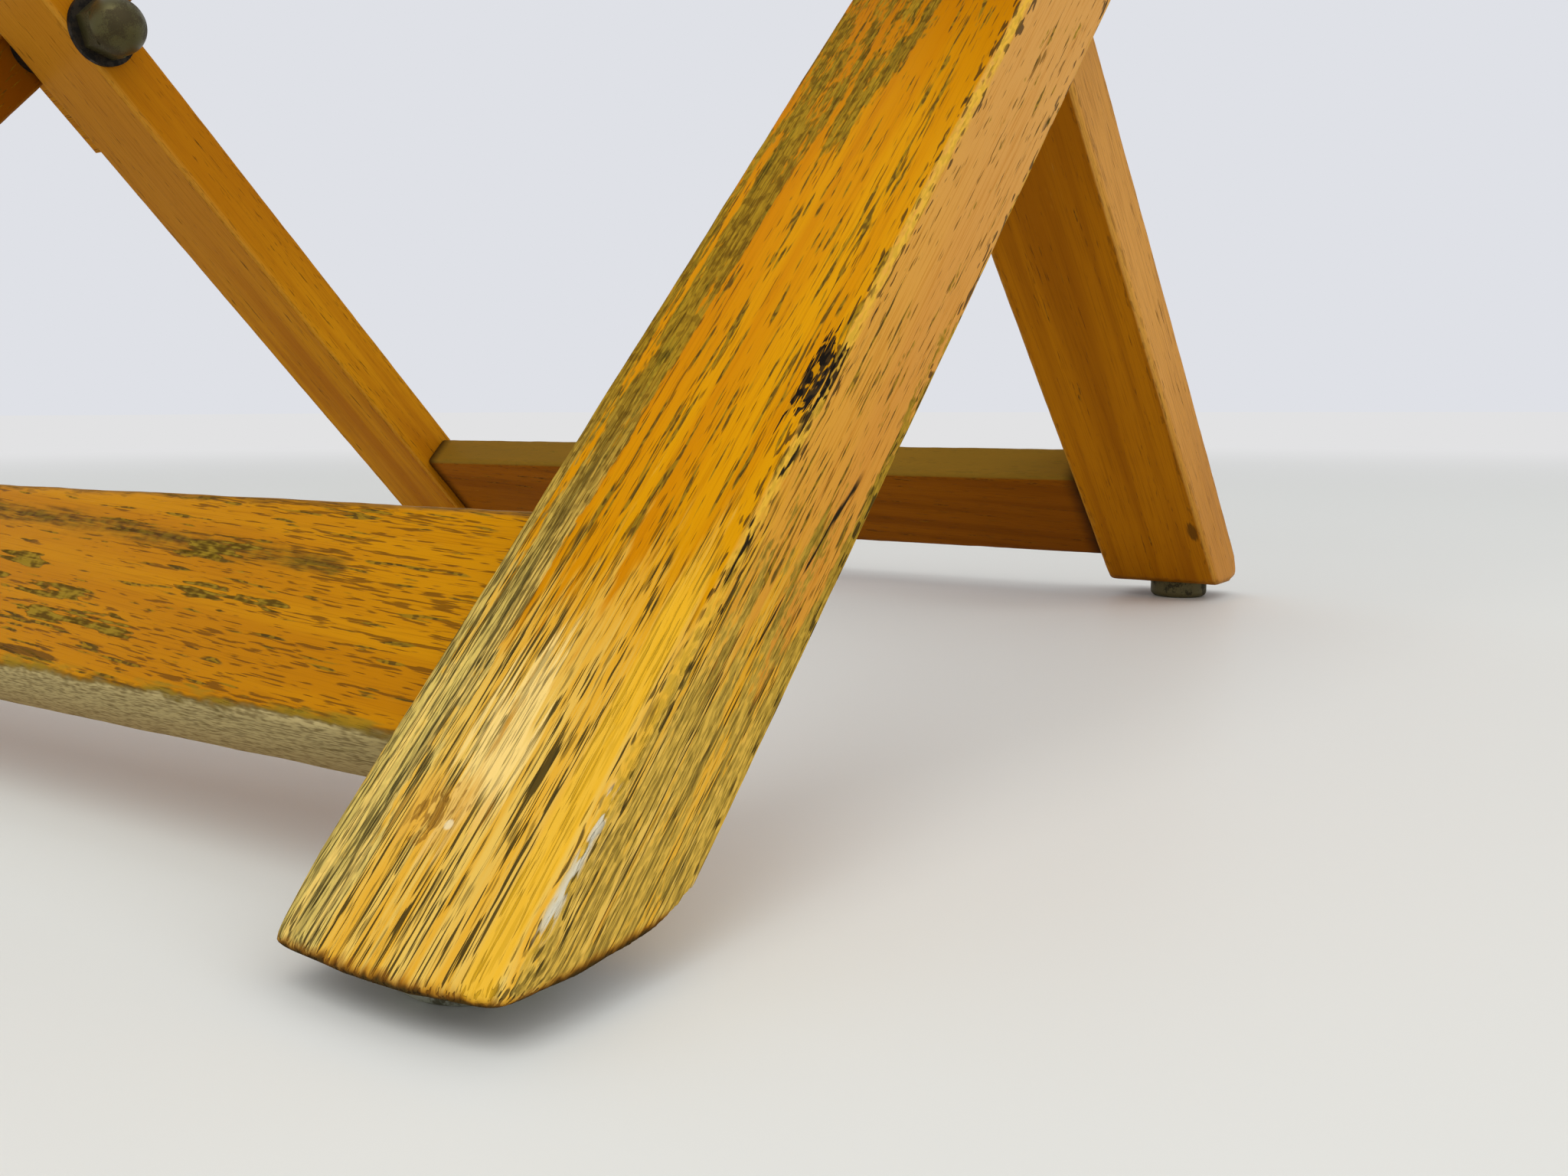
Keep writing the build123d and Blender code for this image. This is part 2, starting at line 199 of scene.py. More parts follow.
class Paint:
    """Node tree of a material or of the world, under construction."""

    def __init__(self, owner: Union[bpy.types.Material, bpy.types.World]) -> None:
        """Start on an owner's default nodes.

        Args:
            owner: The material or the world.
        """
        owner.use_nodes = True
        self.owner = owner
        self.tree = owner.node_tree

    @classmethod
    def material(cls, name: str) -> "Paint":
        """Start a new material."""
        return cls(bpy.data.materials.new(name))

    def node(self, kind: str, sockets: Optional[dict] = None, **settings: str) -> bpy.types.Node:
        """Add a node.

        Args:
            kind: Node type without its ShaderNode prefix.
            sockets: Input values or links, by socket name or number.
            settings: Properties of the node, set before its sockets.

        Returns:
            The new node.
        """
        made = self.tree.nodes.new("ShaderNode" + kind)
        for key, setting in settings.items():
            setattr(made, key, setting)
        for key, value in (sockets or {}).items():
            self.feed(made.inputs[key], value)
        return made

    def out(self, kind: str, output: Union[int, str], sockets: dict, **settings: str) -> Field:
        """Add a node and give one of its outputs, by number or name."""
        return Field(self, self.node(kind, sockets, **settings).outputs[output])

    def feed(self, socket: bpy.types.NodeSocket, value: Union[Value, tuple]) -> None:
        """Link a field to a socket, or set a plain value on it.

        Args:
            socket: Input of a node.
            value: Field, number, vector, or tone for a colour socket.
        """
        if isinstance(value, Field):
            self.tree.links.new(value.socket, socket)
        else:
            socket.default_value = linear(value) if socket.type == "RGBA" else value

    def set(self, **inputs: Union[Value, tuple]) -> None:
        """Feed sockets of the Principled surface, named with underscores for spaces."""
        for key, value in inputs.items():
            self.feed(self.tree.nodes["Principled BSDF"].inputs[key.replace("_", " ")], value)

    def math(self, operation: str, *values: Value) -> Field:
        """Result of one Math node on up to three values."""
        return self.out("Math", 0, dict(enumerate(values)), operation=operation)

    def smooth(self, value: Field, low: float, high: float) -> Field:
        """Smooth step.

        Args:
            value: What rises or falls.
            low: Where the step is 0.
            high: Where it is 1, which may lie below low.

        Returns:
            The step.
        """
        ends = (low, high, 0.0, 1.0) if low < high else (high, low, 1.0, 0.0)
        sockets = dict(zip(("From Min", "From Max", "To Min", "To Max"), ends), Value=value)
        return self.out("MapRange", "Result", sockets, interpolation_type="SMOOTHSTEP")

    def clamp(self, value: Field) -> Field:
        """Value held between 0 and 1."""
        return self.out("Clamp", 0, {"Value": value})

    def most(self, *values: Field) -> Field:
        """Largest of some fields."""
        return reduce(lambda top, value: self.math("MAXIMUM", top, value), values)

    def place(self) -> Field:
        """Object coordinates."""
        return self.out("TexCoord", "Object", {})

    def mapped(self, vector: Field, location: tuple = (0, 0, 0), rotation: tuple = (0, 0, 0),
               scale: tuple = (1, 1, 1)) -> Field:
        """A vector scaled, turned and then moved."""
        sockets = {"Vector": vector, "Location": location, "Rotation": rotation, "Scale": scale}
        return self.out("Mapping", 0, sockets)

    def parts(self, vector: Field) -> tuple[Field, Field, Field]:
        """The three parts of a vector."""
        made = self.node("SeparateXYZ", {0: vector})
        return tuple(Field(self, out) for out in made.outputs)

    def vector(self, x: Value, y: Value, z: Value) -> Field:
        """A vector from its parts."""
        return self.out("CombineXYZ", 0, {0: x, 1: y, 2: z})

    def cloud(self, vector: Field, detail: float = 1.0, scale: float = 1.0) -> Field:
        """Noise about 0.5 on a vector."""
        sockets = {"Vector": vector, "Scale": scale, "Detail": detail, "Roughness": 0.55}
        return self.out("TexNoise", "Fac", sockets)

    def blend(self, share: Value, under: Tint, over: Tint) -> Field:
        """Colour that goes from under to over as share goes from 0 to 1."""
        return self.out("Mix", MIX_RESULT, {0: share, MIX_UNDER: under, MIX_OVER: over}, data_type="RGBA")

    def bump(self, height: Field, depth: float) -> None:
        """Give the surface a relief, depth metres high where the height is 1."""
        self.set(Normal=self.out("Bump", 0, {"Distance": depth, "Height": height}))

    def seen(self) -> Field:
        """1 for what the camera sees straight, mirrored or through glass, and 0 for other light."""
        kinds = ("Is Camera Ray", "Is Glossy Ray", "Is Transmission Ray")
        return self.most(*(self.out("LightPath", kind, {}) for kind in kinds))

    def shader(self, share: Field, *shaders: bpy.types.Node) -> None:
        """Send a mix of shaders to the output.

        Args:
            share: 0 for the first shader and 1 for the second.
            shaders: The two shaders.
        """
        first, second = (Field(self, shader.outputs[0]) for shader in shaders)
        mix = self.node("MixShader", {0: share, 1: first, 2: second})
        output = next(n for n in self.tree.nodes if n.type.startswith("OUTPUT"))
        self.tree.links.new(mix.outputs[0], output.inputs["Surface"])


@dataclass(frozen=True)
class Grain:
    """Where the grain of a board runs: its middle, half sizes and turn, all in millimetres.

    Across runs over the board's wide face, depth from its front to its back and along with the grain.
    """

    way: Way
    half_width: float
    half_depth: float
    middle: float
    side: Side = Side.RIGHT
    rail: bool = False
    seed: float = 0.0
    slant: float = 0.0
    shoulder: float = 0.0

    def fields(self, paint: Paint) -> tuple[Field, Field, Field]:
        """Coordinates of the board in millimetres.

        Args:
            paint: Material that reads them.

        Returns:
            Fields across and through the board from its middle, and along it: up from the floor on a
            leg and from the sawhorse's middle on a rail.
        """
        turn = Euler((self.way.value * LEAN, 0, 0))
        pivot = turn.to_matrix() @ Vector((0, 0, PIVOT_HEIGHT))
        shift = (Vector((0, 0, LEG_LENGTH_BELOW)) - pivot) * PER_METRE
        scale = (self.side.value * PER_METRE, PER_METRE, PER_METRE)
        x, depth, rise = paint.parts(paint.mapped(paint.place(), tuple(shift), tuple(turn), scale))
        if self.rail:
            return rise - self.middle, depth, x
        return x - self.middle, depth, rise


@dataclass(frozen=True)
class WoodFinish:
    """Tones of a varnished board, from sound varnish to bare and weathered wood."""

    gold: Tone
    amber: Tone
    fibre: Tone
    pore: Tone
    fleck: Tone
    fleck_dark: Tone
    bare: Tone
    bare_gold: Tone
    bare_line: Tone
    weathered: Tone
    weathered_dark: Tone
    straw: Tone
    mottle: Tone
    mottle_dark: Tone
    # Tone of the outer side face, laid on partly as faded varnish and partly as painted light and sheen
    side: Tone
    # Tone of the pale patch on the foot: partly rubbed wood, partly a painted sheen
    cream: Tone
    edge: Tone
    chip: Tone
    # Dark tone for grime at the sole, also used for the seam at the rails' legs, which is partly painted
    # shade
    dirt_and_shade: Tone
    roughness: float
    coat: float


OUTER_LEG_WOOD = WoodFinish(
    gold=(222, 154, 4), amber=(208, 131, 1), fibre=(182, 110, 1), pore=(112, 76, 8),
    fleck=(142, 112, 24), fleck_dark=(74, 62, 24),
    bare=(238, 194, 88), bare_gold=(234, 176, 54), bare_line=(54, 46, 22),
    weathered=(225, 196, 103), weathered_dark=(84, 76, 42), straw=(244, 206, 108),
    mottle=(166, 135, 36), mottle_dark=(92, 76, 22),
    side=(218, 161, 85), cream=(255, 218, 130), edge=(224, 174, 56), chip=(40, 33, 20), dirt_and_shade=(50, 36, 18),
    roughness=0.44, coat=0.014,
)

# Darker copy for the left outer leg: partly its own darker varnish, partly painted shade
REAR_LEG_WOOD = replace(
    OUTER_LEG_WOOD, gold=(178, 106, 8), amber=(150, 84, 6), fibre=(126, 68, 4), edge=(196, 140, 48)
)

# Darker copy for the outer rails: partly their own tone, partly painted shade between the legs
OUTER_RAIL_WOOD = replace(
    OUTER_LEG_WOOD, gold=(202, 136, 2), amber=(188, 120, 1), fibre=(158, 96, 1), pore=(102, 62, 6),
    edge=(190, 140, 50), roughness=0.36, coat=0.03,
)

INNER_LEG_WOOD = WoodFinish(
    gold=(206, 138, 16), amber=(182, 112, 12), fibre=(154, 92, 10), pore=(110, 64, 10),
    fleck=(140, 94, 20), fleck_dark=(84, 52, 12),
    bare=(214, 166, 86), bare_gold=(202, 140, 38), bare_line=(96, 70, 26),
    weathered=(158, 130, 60), weathered_dark=(100, 84, 36), straw=(206, 158, 66),
    mottle=(150, 112, 40), mottle_dark=(92, 68, 24),
    side=(224, 162, 76), cream=(226, 180, 100), edge=(214, 160, 60), chip=(58, 38, 14), dirt_and_shade=(46, 28, 10),
    roughness=0.38, coat=0.022,
)

# Paler side tone of the left inner leg, laid high on its front face as painted light
NEAR_LEG_WOOD = replace(INNER_LEG_WOOD, side=(246, 188, 80))
# Darker copy for the right inner leg: painted shade
FAR_LEG_WOOD = replace(INNER_LEG_WOOD, gold=(180, 112, 6), amber=(154, 90, 4), fibre=(128, 72, 3))
# Much darker copy for the inner rails: partly their own tone, partly painted shade on their down-facing
# fronts
INNER_RAIL_WOOD = replace(
    INNER_LEG_WOOD, gold=(156, 90, 6), amber=(134, 74, 4), fibre=(112, 60, 3), edge=(170, 124, 40)
)


@dataclass(frozen=True)
class Mark:
    """A mark on a board: where it is, its colour, what it adds to the roughness and how deep it lies."""

    mask: Field
    tint: Tint
    rough: float = 0.2
    sink: float = 0.0


@dataclass(frozen=True)
class Shares:
    """How far a board is worn, and how much painted light and sheen lie on it.

    The first four are added to a noise about 0.5 before that is cut off. The others run from 0 to 1.
    """

    weathered: Value = -0.2
    bare: Value = -0.2
    flecks: Value = -0.08
    pores: Value = -0.03
    edges: Value = 0.35
    olive: Value = 1.0
    # Share of the side tone: partly faded varnish, partly painted light
    faded_and_lit: Optional[Field] = None
    # Share of the cream patch: partly rubbed wood, partly a painted sheen
    rubbed_and_sheen: Optional[Field] = None


class WoodPaint(Paint):
    """Paints one board: varnish, pores, flecks, bare and weathered wood, worn edges, marks and dirt, with
    some painted light and shade among them.

    A kind of board says in worn and marks what is its own. This one is sound and unmarked.
    """

    def __init__(self, name: str, grain: Grain, finish: WoodFinish) -> None:
        """Lay out the board's coordinates and find where it is worn.

        Args:
            name: Name of the material.
            grain: Where the grain runs.
            finish: Tones of the board.
        """
        super().__init__(bpy.data.materials.new(name))
        self.grain = grain
        self.finish = finish
        self.across, self.depth, self.along = grain.fields(self)
        wander = self.vector(
            self.across / WANDER_ACROSS, self.depth / WANDER_ACROSS, self.along / WANDER_ALONG
        )
        bend = (self.cloud(wander) - NOISE_MIDDLE) * WANDER_SIZE + self.along * grain.slant
        self.line = self.vector(self.across + bend, self.depth, self.along)
        self.noises: dict[tuple[Pattern, int], Field] = {}
        self.speckle = self.smooth(self.noise(Pattern.SPECK), 0.42, 0.6)
        self.edge = self.most(grain.half_width - abs(self.across), grain.half_depth - abs(self.depth))
        self.shares = self.worn()

    def worn(self) -> Shares:
        """How far the board is worn."""
        return Shares()

    def marks(self) -> list[Mark]:
        """Marks of this kind of board alone."""
        return []

    def noise(self, pattern: Pattern, turn: int = 0) -> Field:
        """Noise drawn out along the grain.

        Args:
            pattern: Its sizes.
            turn: Tells noises of one pattern apart.

        Returns:
            The noise, about 0.5, made once for each pattern and turn.
        """
        if (pattern, turn) not in self.noises:
            across_mm, along_mm, detail = pattern.value
            seed = list(Pattern).index(pattern) + 13 * turn + 1
            shift = (seed * 7.31 + self.grain.seed * 3.17, seed * 2.93 - self.grain.seed, seed * 5.57)
            scale = (1 / across_mm, 1 / across_mm, 1 / along_mm)
            vector = self.mapped(self.line, shift, scale=scale)
            self.noises[pattern, turn] = self.cloud(vector, detail)
        return self.noises[pattern, turn]

    def sway(self, pattern: Pattern, size: float, turn: int = 0) -> Field:
        """Noise about zero, so many times its plain size."""
        return (self.noise(pattern, turn) - NOISE_MIDDLE) * size

    def rise(self, low: float, high: float) -> Field:
        """Smooth step along the board, from 0 at low to 1 at high."""
        return self.smooth(self.along, low, high)

    @cached_property
    def front(self) -> Field:
        """1 on the front face."""
        return self.smooth(self.depth, 3.0 - self.grain.half_depth, 1.5 - self.grain.half_depth)

    @cached_property
    def outer_side(self) -> Field:
        """1 on the outer side face."""
        return self.smooth(self.across, self.grain.half_width - 1.6, self.grain.half_width - 0.7)

    def reach(self, across: float, along: float, half_across: float, half_along: float) -> Field:
        """Distance from a point of the face, in half sizes."""
        x, y = (self.across - across) / half_across, (self.along - along) / half_along
        return self.math("SQRT", x * x + y * y)

    def spot(self, across: float, along: float, half_across: float, half_along: float, rag: float) -> Field:
        """A ragged patch of the face, drawn out along the grain."""
        ragged = self.sway(Pattern.FLECK, 2 * rag) + self.sway(Pattern.HAIR, rag)
        return self.smooth(self.reach(across, along, half_across, half_along) + ragged, 1.15, 0.75)

    def stroke(self, start: tuple, end: tuple, half_width: float, rag: float, soft: float = 0.3) -> Field:
        """A ragged line along the grain.

        Args:
            start: Along and across at one end.
            end: Along and across at the other end.
            half_width: Half of the line's width.
            rag: How far its edges wander, in millimetres.
            soft: How softly they fade, in millimetres.

        Returns:
            Mask that is 1 on the line.
        """
        (near, first), (far, last) = start, end
        off = abs(self.across - first - (self.along - near) * ((last - first) / (far - near)))
        ragged = self.sway(Pattern.FLECK, 4 * rag) + self.sway(Pattern.PEEL, 1.5)
        beyond = abs(self.along - (near + far) / 2) - (far - near) / 2
        wide = half_width - off + ragged - self.smooth(beyond, -6, 4) * (3 * half_width)
        return self.smooth(wide, -soft, soft)

    def sole_dirt(self, share: float = 0.95) -> Mark:
        """Dark grime up from the sole.

        Args:
            share: How dense it is.

        Returns:
            The grime.
        """
        toe, heel = (end * PER_METRE for end in sole_ends(self.grain.way))
        slope = (heel.z - toe.z) / (heel.y - toe.y)
        sole = (self.depth - toe.y) * slope + toe.z + LEG_LENGTH_BELOW * PER_METRE
        height = (self.along - sole) * math.cos(LEAN) + self.sway(Pattern.PEEL, 2.0, 1)
        tint = self.blend(self.smooth(height, 0.7, 1.9), self.finish.dirt_and_shade, (150, 92, 22))
        return Mark(self.smooth(height, 2.5, 1.1) * share, tint, 0.15)

    def shoulder_grime_and_shade(self, reach: float = 1.9) -> Mark:
        """Dark seam where a rail meets its legs, this far out from them: partly grime in the joint, partly
        painted shade in the corner.
        """
        from_leg = self.grain.shoulder - abs(self.along) + self.sway(Pattern.PEEL, 1.6, 1)
        return Mark(self.smooth(from_leg, reach, 0.5) * 0.85, self.finish.dirt_and_shade, 0.2)

    def peg_ring(self) -> Mark:
        """Dark joints round a leg's pegs.

        Returns:
            The joints, on the back face.
        """
        behind = self.smooth(self.depth, self.grain.half_depth - 3, self.grain.half_depth - 1.5)
        rings = []
        for rail_rise in (LOWER_RAIL_UP_LEG, LEG_LENGTH_BELOW + CROWN_RISE - TOP_RAIL_HEIGHT):
            from_peg = self.reach(PEG_ACROSS, rail_rise * PER_METRE + PEG_RISE_IN_RAIL, 1, 1)
            rings.append(self.smooth(abs(from_peg - PEG_RADIUS), 0.7, 0.25))
        return Mark(self.most(*rings) * behind, self.finish.chip, 0.2, 0.8)

    def varnish(self) -> tuple[Field, Field, Field]:
        """Varnished wood with its pores and flecks.

        Returns:
            Its colour, and masks of the pores and of the flecks.
        """
        finish, noise, smooth, blend = self.finish, self.noise, self.smooth, self.blend
        gold = smooth(noise(Pattern.BAND) * 0.5 + noise(Pattern.TONE) * 0.5, 0.36, 0.62)
        if not self.grain.rail:
            gold = gold * (1.0 - self.rise(140, 230) * 0.8)
        colour = blend(gold, finish.amber, finish.gold)
        if not self.grain.rail and self.grain.way is Way.BACK:
            colour = blend(self.rise(130, 220) * 0.95, colour, finish.fibre)
        # Side tone: partly faded varnish, partly painted light and sheen
        if self.shares.faded_and_lit:
            colour = blend(self.shares.faded_and_lit, colour, finish.side)
        colour = blend(smooth(noise(Pattern.HAIR), 0.48, 0.72) * 0.4, colour, finish.fibre)
        pore = noise(Pattern.DASH) + self.sway(Pattern.RING, 0.5) + self.shares.pores
        pore = smooth(pore, 0.61, 0.71)
        colour = blend(pore * 0.75, colour, finish.pore)
        fleck = noise(Pattern.TICK) * 0.6 + noise(Pattern.FLECK) * 0.4 + self.sway(Pattern.RING, 0.35)
        fleck = smooth(fleck + self.shares.flecks, 0.585, 0.65)
        olive = blend(self.speckle, finish.fleck, finish.fleck_dark)
        return blend(fleck * 0.85, colour, olive), pore, fleck

    def bare_wood(self, colour: Field) -> tuple[Field, Field, Field]:
        """Bare wood laid over a colour.

        Args:
            colour: What shows where the varnish is sound.

        Returns:
            The new colour, and masks of the bare wood and of its dark lines.
        """
        finish, noise, smooth, blend = self.finish, self.noise, self.smooth, self.blend
        line = noise(Pattern.CRACK) * 0.7 + noise(Pattern.DASH) * 0.3 + self.sway(Pattern.RING, 0.14, 4)
        line = smooth(line, 0.55, 0.585)
        hair = smooth(noise(Pattern.HAIR, 1) * 0.7 + noise(Pattern.RING, 2) * 0.3, 0.5, 0.6)
        pit = smooth(noise(Pattern.DASH, 2), 0.57, 0.66)
        wood = blend(smooth(noise(Pattern.RING, 1), 0.42, 0.6), finish.bare, finish.bare_gold)
        wood = blend(self.rise(26, 66) * 0.85, wood, finish.gold)
        # Cream patch: partly rubbed wood, partly a painted sheen
        rubbed_and_sheen = self.shares.rubbed_and_sheen
        if rubbed_and_sheen:
            wood = blend(rubbed_and_sheen * 0.95, wood, finish.cream)
            line = line * (1.0 - rubbed_and_sheen * 0.55)
        wood = blend(hair * 0.26, wood, finish.weathered)
        wood = blend(pit * 0.55, wood, finish.bare_line)
        wood = blend(line * 0.92, wood, finish.bare_line)
        bare = noise(Pattern.PATCH) * 0.7 + noise(Pattern.CHIP) * 0.3 + self.shares.bare
        bare = smooth(bare, 0.47, 0.66)
        return blend(bare, colour, wood), bare, line

    def weathered_wood(self, colour: Field, line: Field) -> tuple[Field, Field]:
        """Grey weathered wood laid over a colour.

        Args:
            colour: What shows elsewhere.
            line: Mask of dark lines.

        Returns:
            The new colour, and the mask of the weathered wood.
        """
        finish, noise, smooth, blend = self.finish, self.noise, self.smooth, self.blend
        olive, even = self.shares.olive, self.outer_side
        pale = smooth(noise(Pattern.RING, 2), 0.44, 0.56) * (1.0 - even * 0.75)
        grey = blend(pale, finish.weathered, finish.straw)
        grey = blend(even * 0.65, grey, finish.edge)
        grey = blend(olive, grey, finish.mottle)
        dark = blend(olive, finish.weathered_dark, finish.mottle_dark)
        dark = blend(even * 0.45, dark, finish.mottle)
        dash = smooth(noise(Pattern.DASH, 1), 0.54, 0.62)
        spots = smooth(noise(Pattern.PEEL, 2), 0.5, 0.6) * olive
        strand = smooth(noise(Pattern.STRAND) * 0.65 + noise(Pattern.HAIR, 2) * 0.35, 0.51, 0.57)
        speckled = self.speckle * (even * 0.16 + 0.16) + dash * (0.6 - even * 0.2)
        speckled = speckled + spots * 0.5 + strand * (0.36 - even * 0.3)
        grey = blend(self.clamp(speckled), grey, dark)
        grey = blend(line * (0.75 - olive * 0.4 - even * 0.3), grey, finish.bare_line)
        share = noise(Pattern.PATCH, 1) * 0.34 + noise(Pattern.BLOT, 1) * 0.36
        share = share + noise(Pattern.CHIP, 4) * 0.15 + noise(Pattern.SPECK) * 0.15
        weathered = smooth(share + self.shares.weathered, 0.5, 0.58)
        return blend(weathered * (0.97 - olive * 0.12), colour, grey), weathered

    def worn_edges(self, colour: Field) -> tuple[Field, Field, Field]:
        """Rubbed edges with dark chips laid over a colour.

        Args:
            colour: What shows elsewhere.

        Returns:
            The new colour, and masks of the rubbed wood and of the chips.
        """
        finish, share, smooth, blend = self.finish, self.shares.edges, self.smooth, self.blend
        distance = self.edge + self.sway(Pattern.CHIP, 1.3, 1) + self.sway(Pattern.SPECK, 0.8, 1)
        rubbed = smooth(distance, 1.45, 0.4) * share
        colour = blend(rubbed, colour, blend(self.speckle * 0.4, finish.edge, finish.mottle))
        near = smooth(abs(self.edge - 1.7), 1.7, 0.5)
        chip = smooth(self.noise(Pattern.CHIP, 2) + near * 0.08, 0.665, 0.71) * near * share
        return blend(chip * 0.9, colour, finish.chip), rubbed, chip

    def build(self) -> bpy.types.Material:
        """Paint the board.

        Returns:
            The finished material.
        """
        finish = self.finish
        colour, pore, fleck = self.varnish()
        colour, bare, line = self.bare_wood(colour)
        colour, weathered = self.weathered_wood(colour, line)
        colour, rubbed, chip = self.worn_edges(colour)
        rough = bare * 0.14 + weathered * 0.26 + rubbed * 0.12 + fleck * 0.14 + finish.roughness
        relief = 1.0 - pore * 0.35 - fleck * self.speckle * 0.3 - line * self.most(bare, weathered) * 0.6
        relief = relief - weathered * self.speckle * 0.3 - chip * 0.6 + self.noise(Pattern.PEEL) * 0.25
        for mark in self.marks():
            colour = self.blend(mark.mask, colour, mark.tint)
            rough = rough + mark.mask * mark.rough
            if mark.sink:
                relief = relief - mark.mask * mark.sink
        sound = self.clamp(1.0 - bare * 0.8 - weathered - rubbed * 0.8 - fleck * 0.6)
        self.set(Base_Color=colour, Roughness=self.clamp(rough), Coat_Weight=sound * finish.coat)
        self.set(Coat_Roughness=COAT_ROUGHNESS, Specular_IOR_Level=WOOD_GLOSS)
        self.bump(relief, WOOD_RELIEF)
        return self.owner


class InnerLegPaint(WoodPaint):
    """An inner leg: sound varnish, with painted light on its outer side, stronger higher up."""

    def faded_and_lit(self) -> Field:
        """How far the paler side tone is laid on as painted light: on the outer side, more higher up."""
        return self.outer_side * (self.rise(30, 150) * 0.4 + 0.4)

    def worn(self) -> Shares:
        """Few pores and hardly any flecks."""
        return Shares(pores=-0.1, flecks=-0.13, faded_and_lit=self.faded_and_lit())

    def marks(self) -> list[Mark]:
        """A little dirt at the sole, and dirt round the pegs."""
        return [self.sole_dirt(0.35), self.peg_ring()]


class NearLegPaint(InnerLegPaint):
    """The left inner leg, with painted light high on its front face near the pivot."""

    def faded_and_lit(self) -> Field:
        """Painted light high on the front face."""
        return self.front * self.rise(130, 240) * 0.17


class FarLegPaint(InnerLegPaint):
    """The right inner leg, with a dark spot near its outer edge."""

    def marks(self) -> list[Mark]:
        """The spot, then what every inner leg has."""
        spot = self.spot(16.8, 48, 1.6, 5.0, 0.8) * self.front
        return [Mark(spot * 0.7, self.finish.chip, 0.2), *super().marks()]


class InnerRailPaint(WoodPaint):
    """An inner rail: sound varnish, with a broad dark seam at its legs, partly grime and partly painted
    shade.
    """

    def worn(self) -> Shares:
        """Few pores."""
        return Shares(pores=-0.06)

    def marks(self) -> list[Mark]:
        """A right part darkened as painted shade, a dull top, and the seams, partly grime and partly painted
        shade.

        Returns:
            The marks.
        """
        top = self.smooth(self.across - self.grain.half_width, -1.6, -0.6)
        return [
            # Darker towards the right end: painted shade from the right inner leg
            Mark(self.rise(20, 170) * 0.45, (104, 52, 2), 0.0),
            Mark(top * 0.7, (134, 108, 36), 0.15),
            # Broad seam at the legs: partly grime, partly painted shade
            self.shoulder_grime_and_shade(8.0),
        ]


class OuterLegPaint(WoodPaint):
    """An outer leg: bare at its foot, with olive wood and pores above."""

    def worn(self) -> Shares:
        """Bare at the foot, pores low down, and flecks fewer above and at the foot.

        Returns:
            How far the leg is worn.
        """
        high = self.rise(90, 160) * (self.outer_side * -0.07 - 0.045)
        return Shares(
            bare=self.rise(92, 34) * 0.5 - 0.24,
            olive=self.rise(30, 100),
            flecks=high - self.rise(70, 40) * 0.12,
            pores=self.rise(130, 60) * 0.06 - 0.05,
        )

    def marks(self) -> list[Mark]:
        """Dirt at the sole and round the pegs."""
        return [self.sole_dirt(), self.peg_ring()]


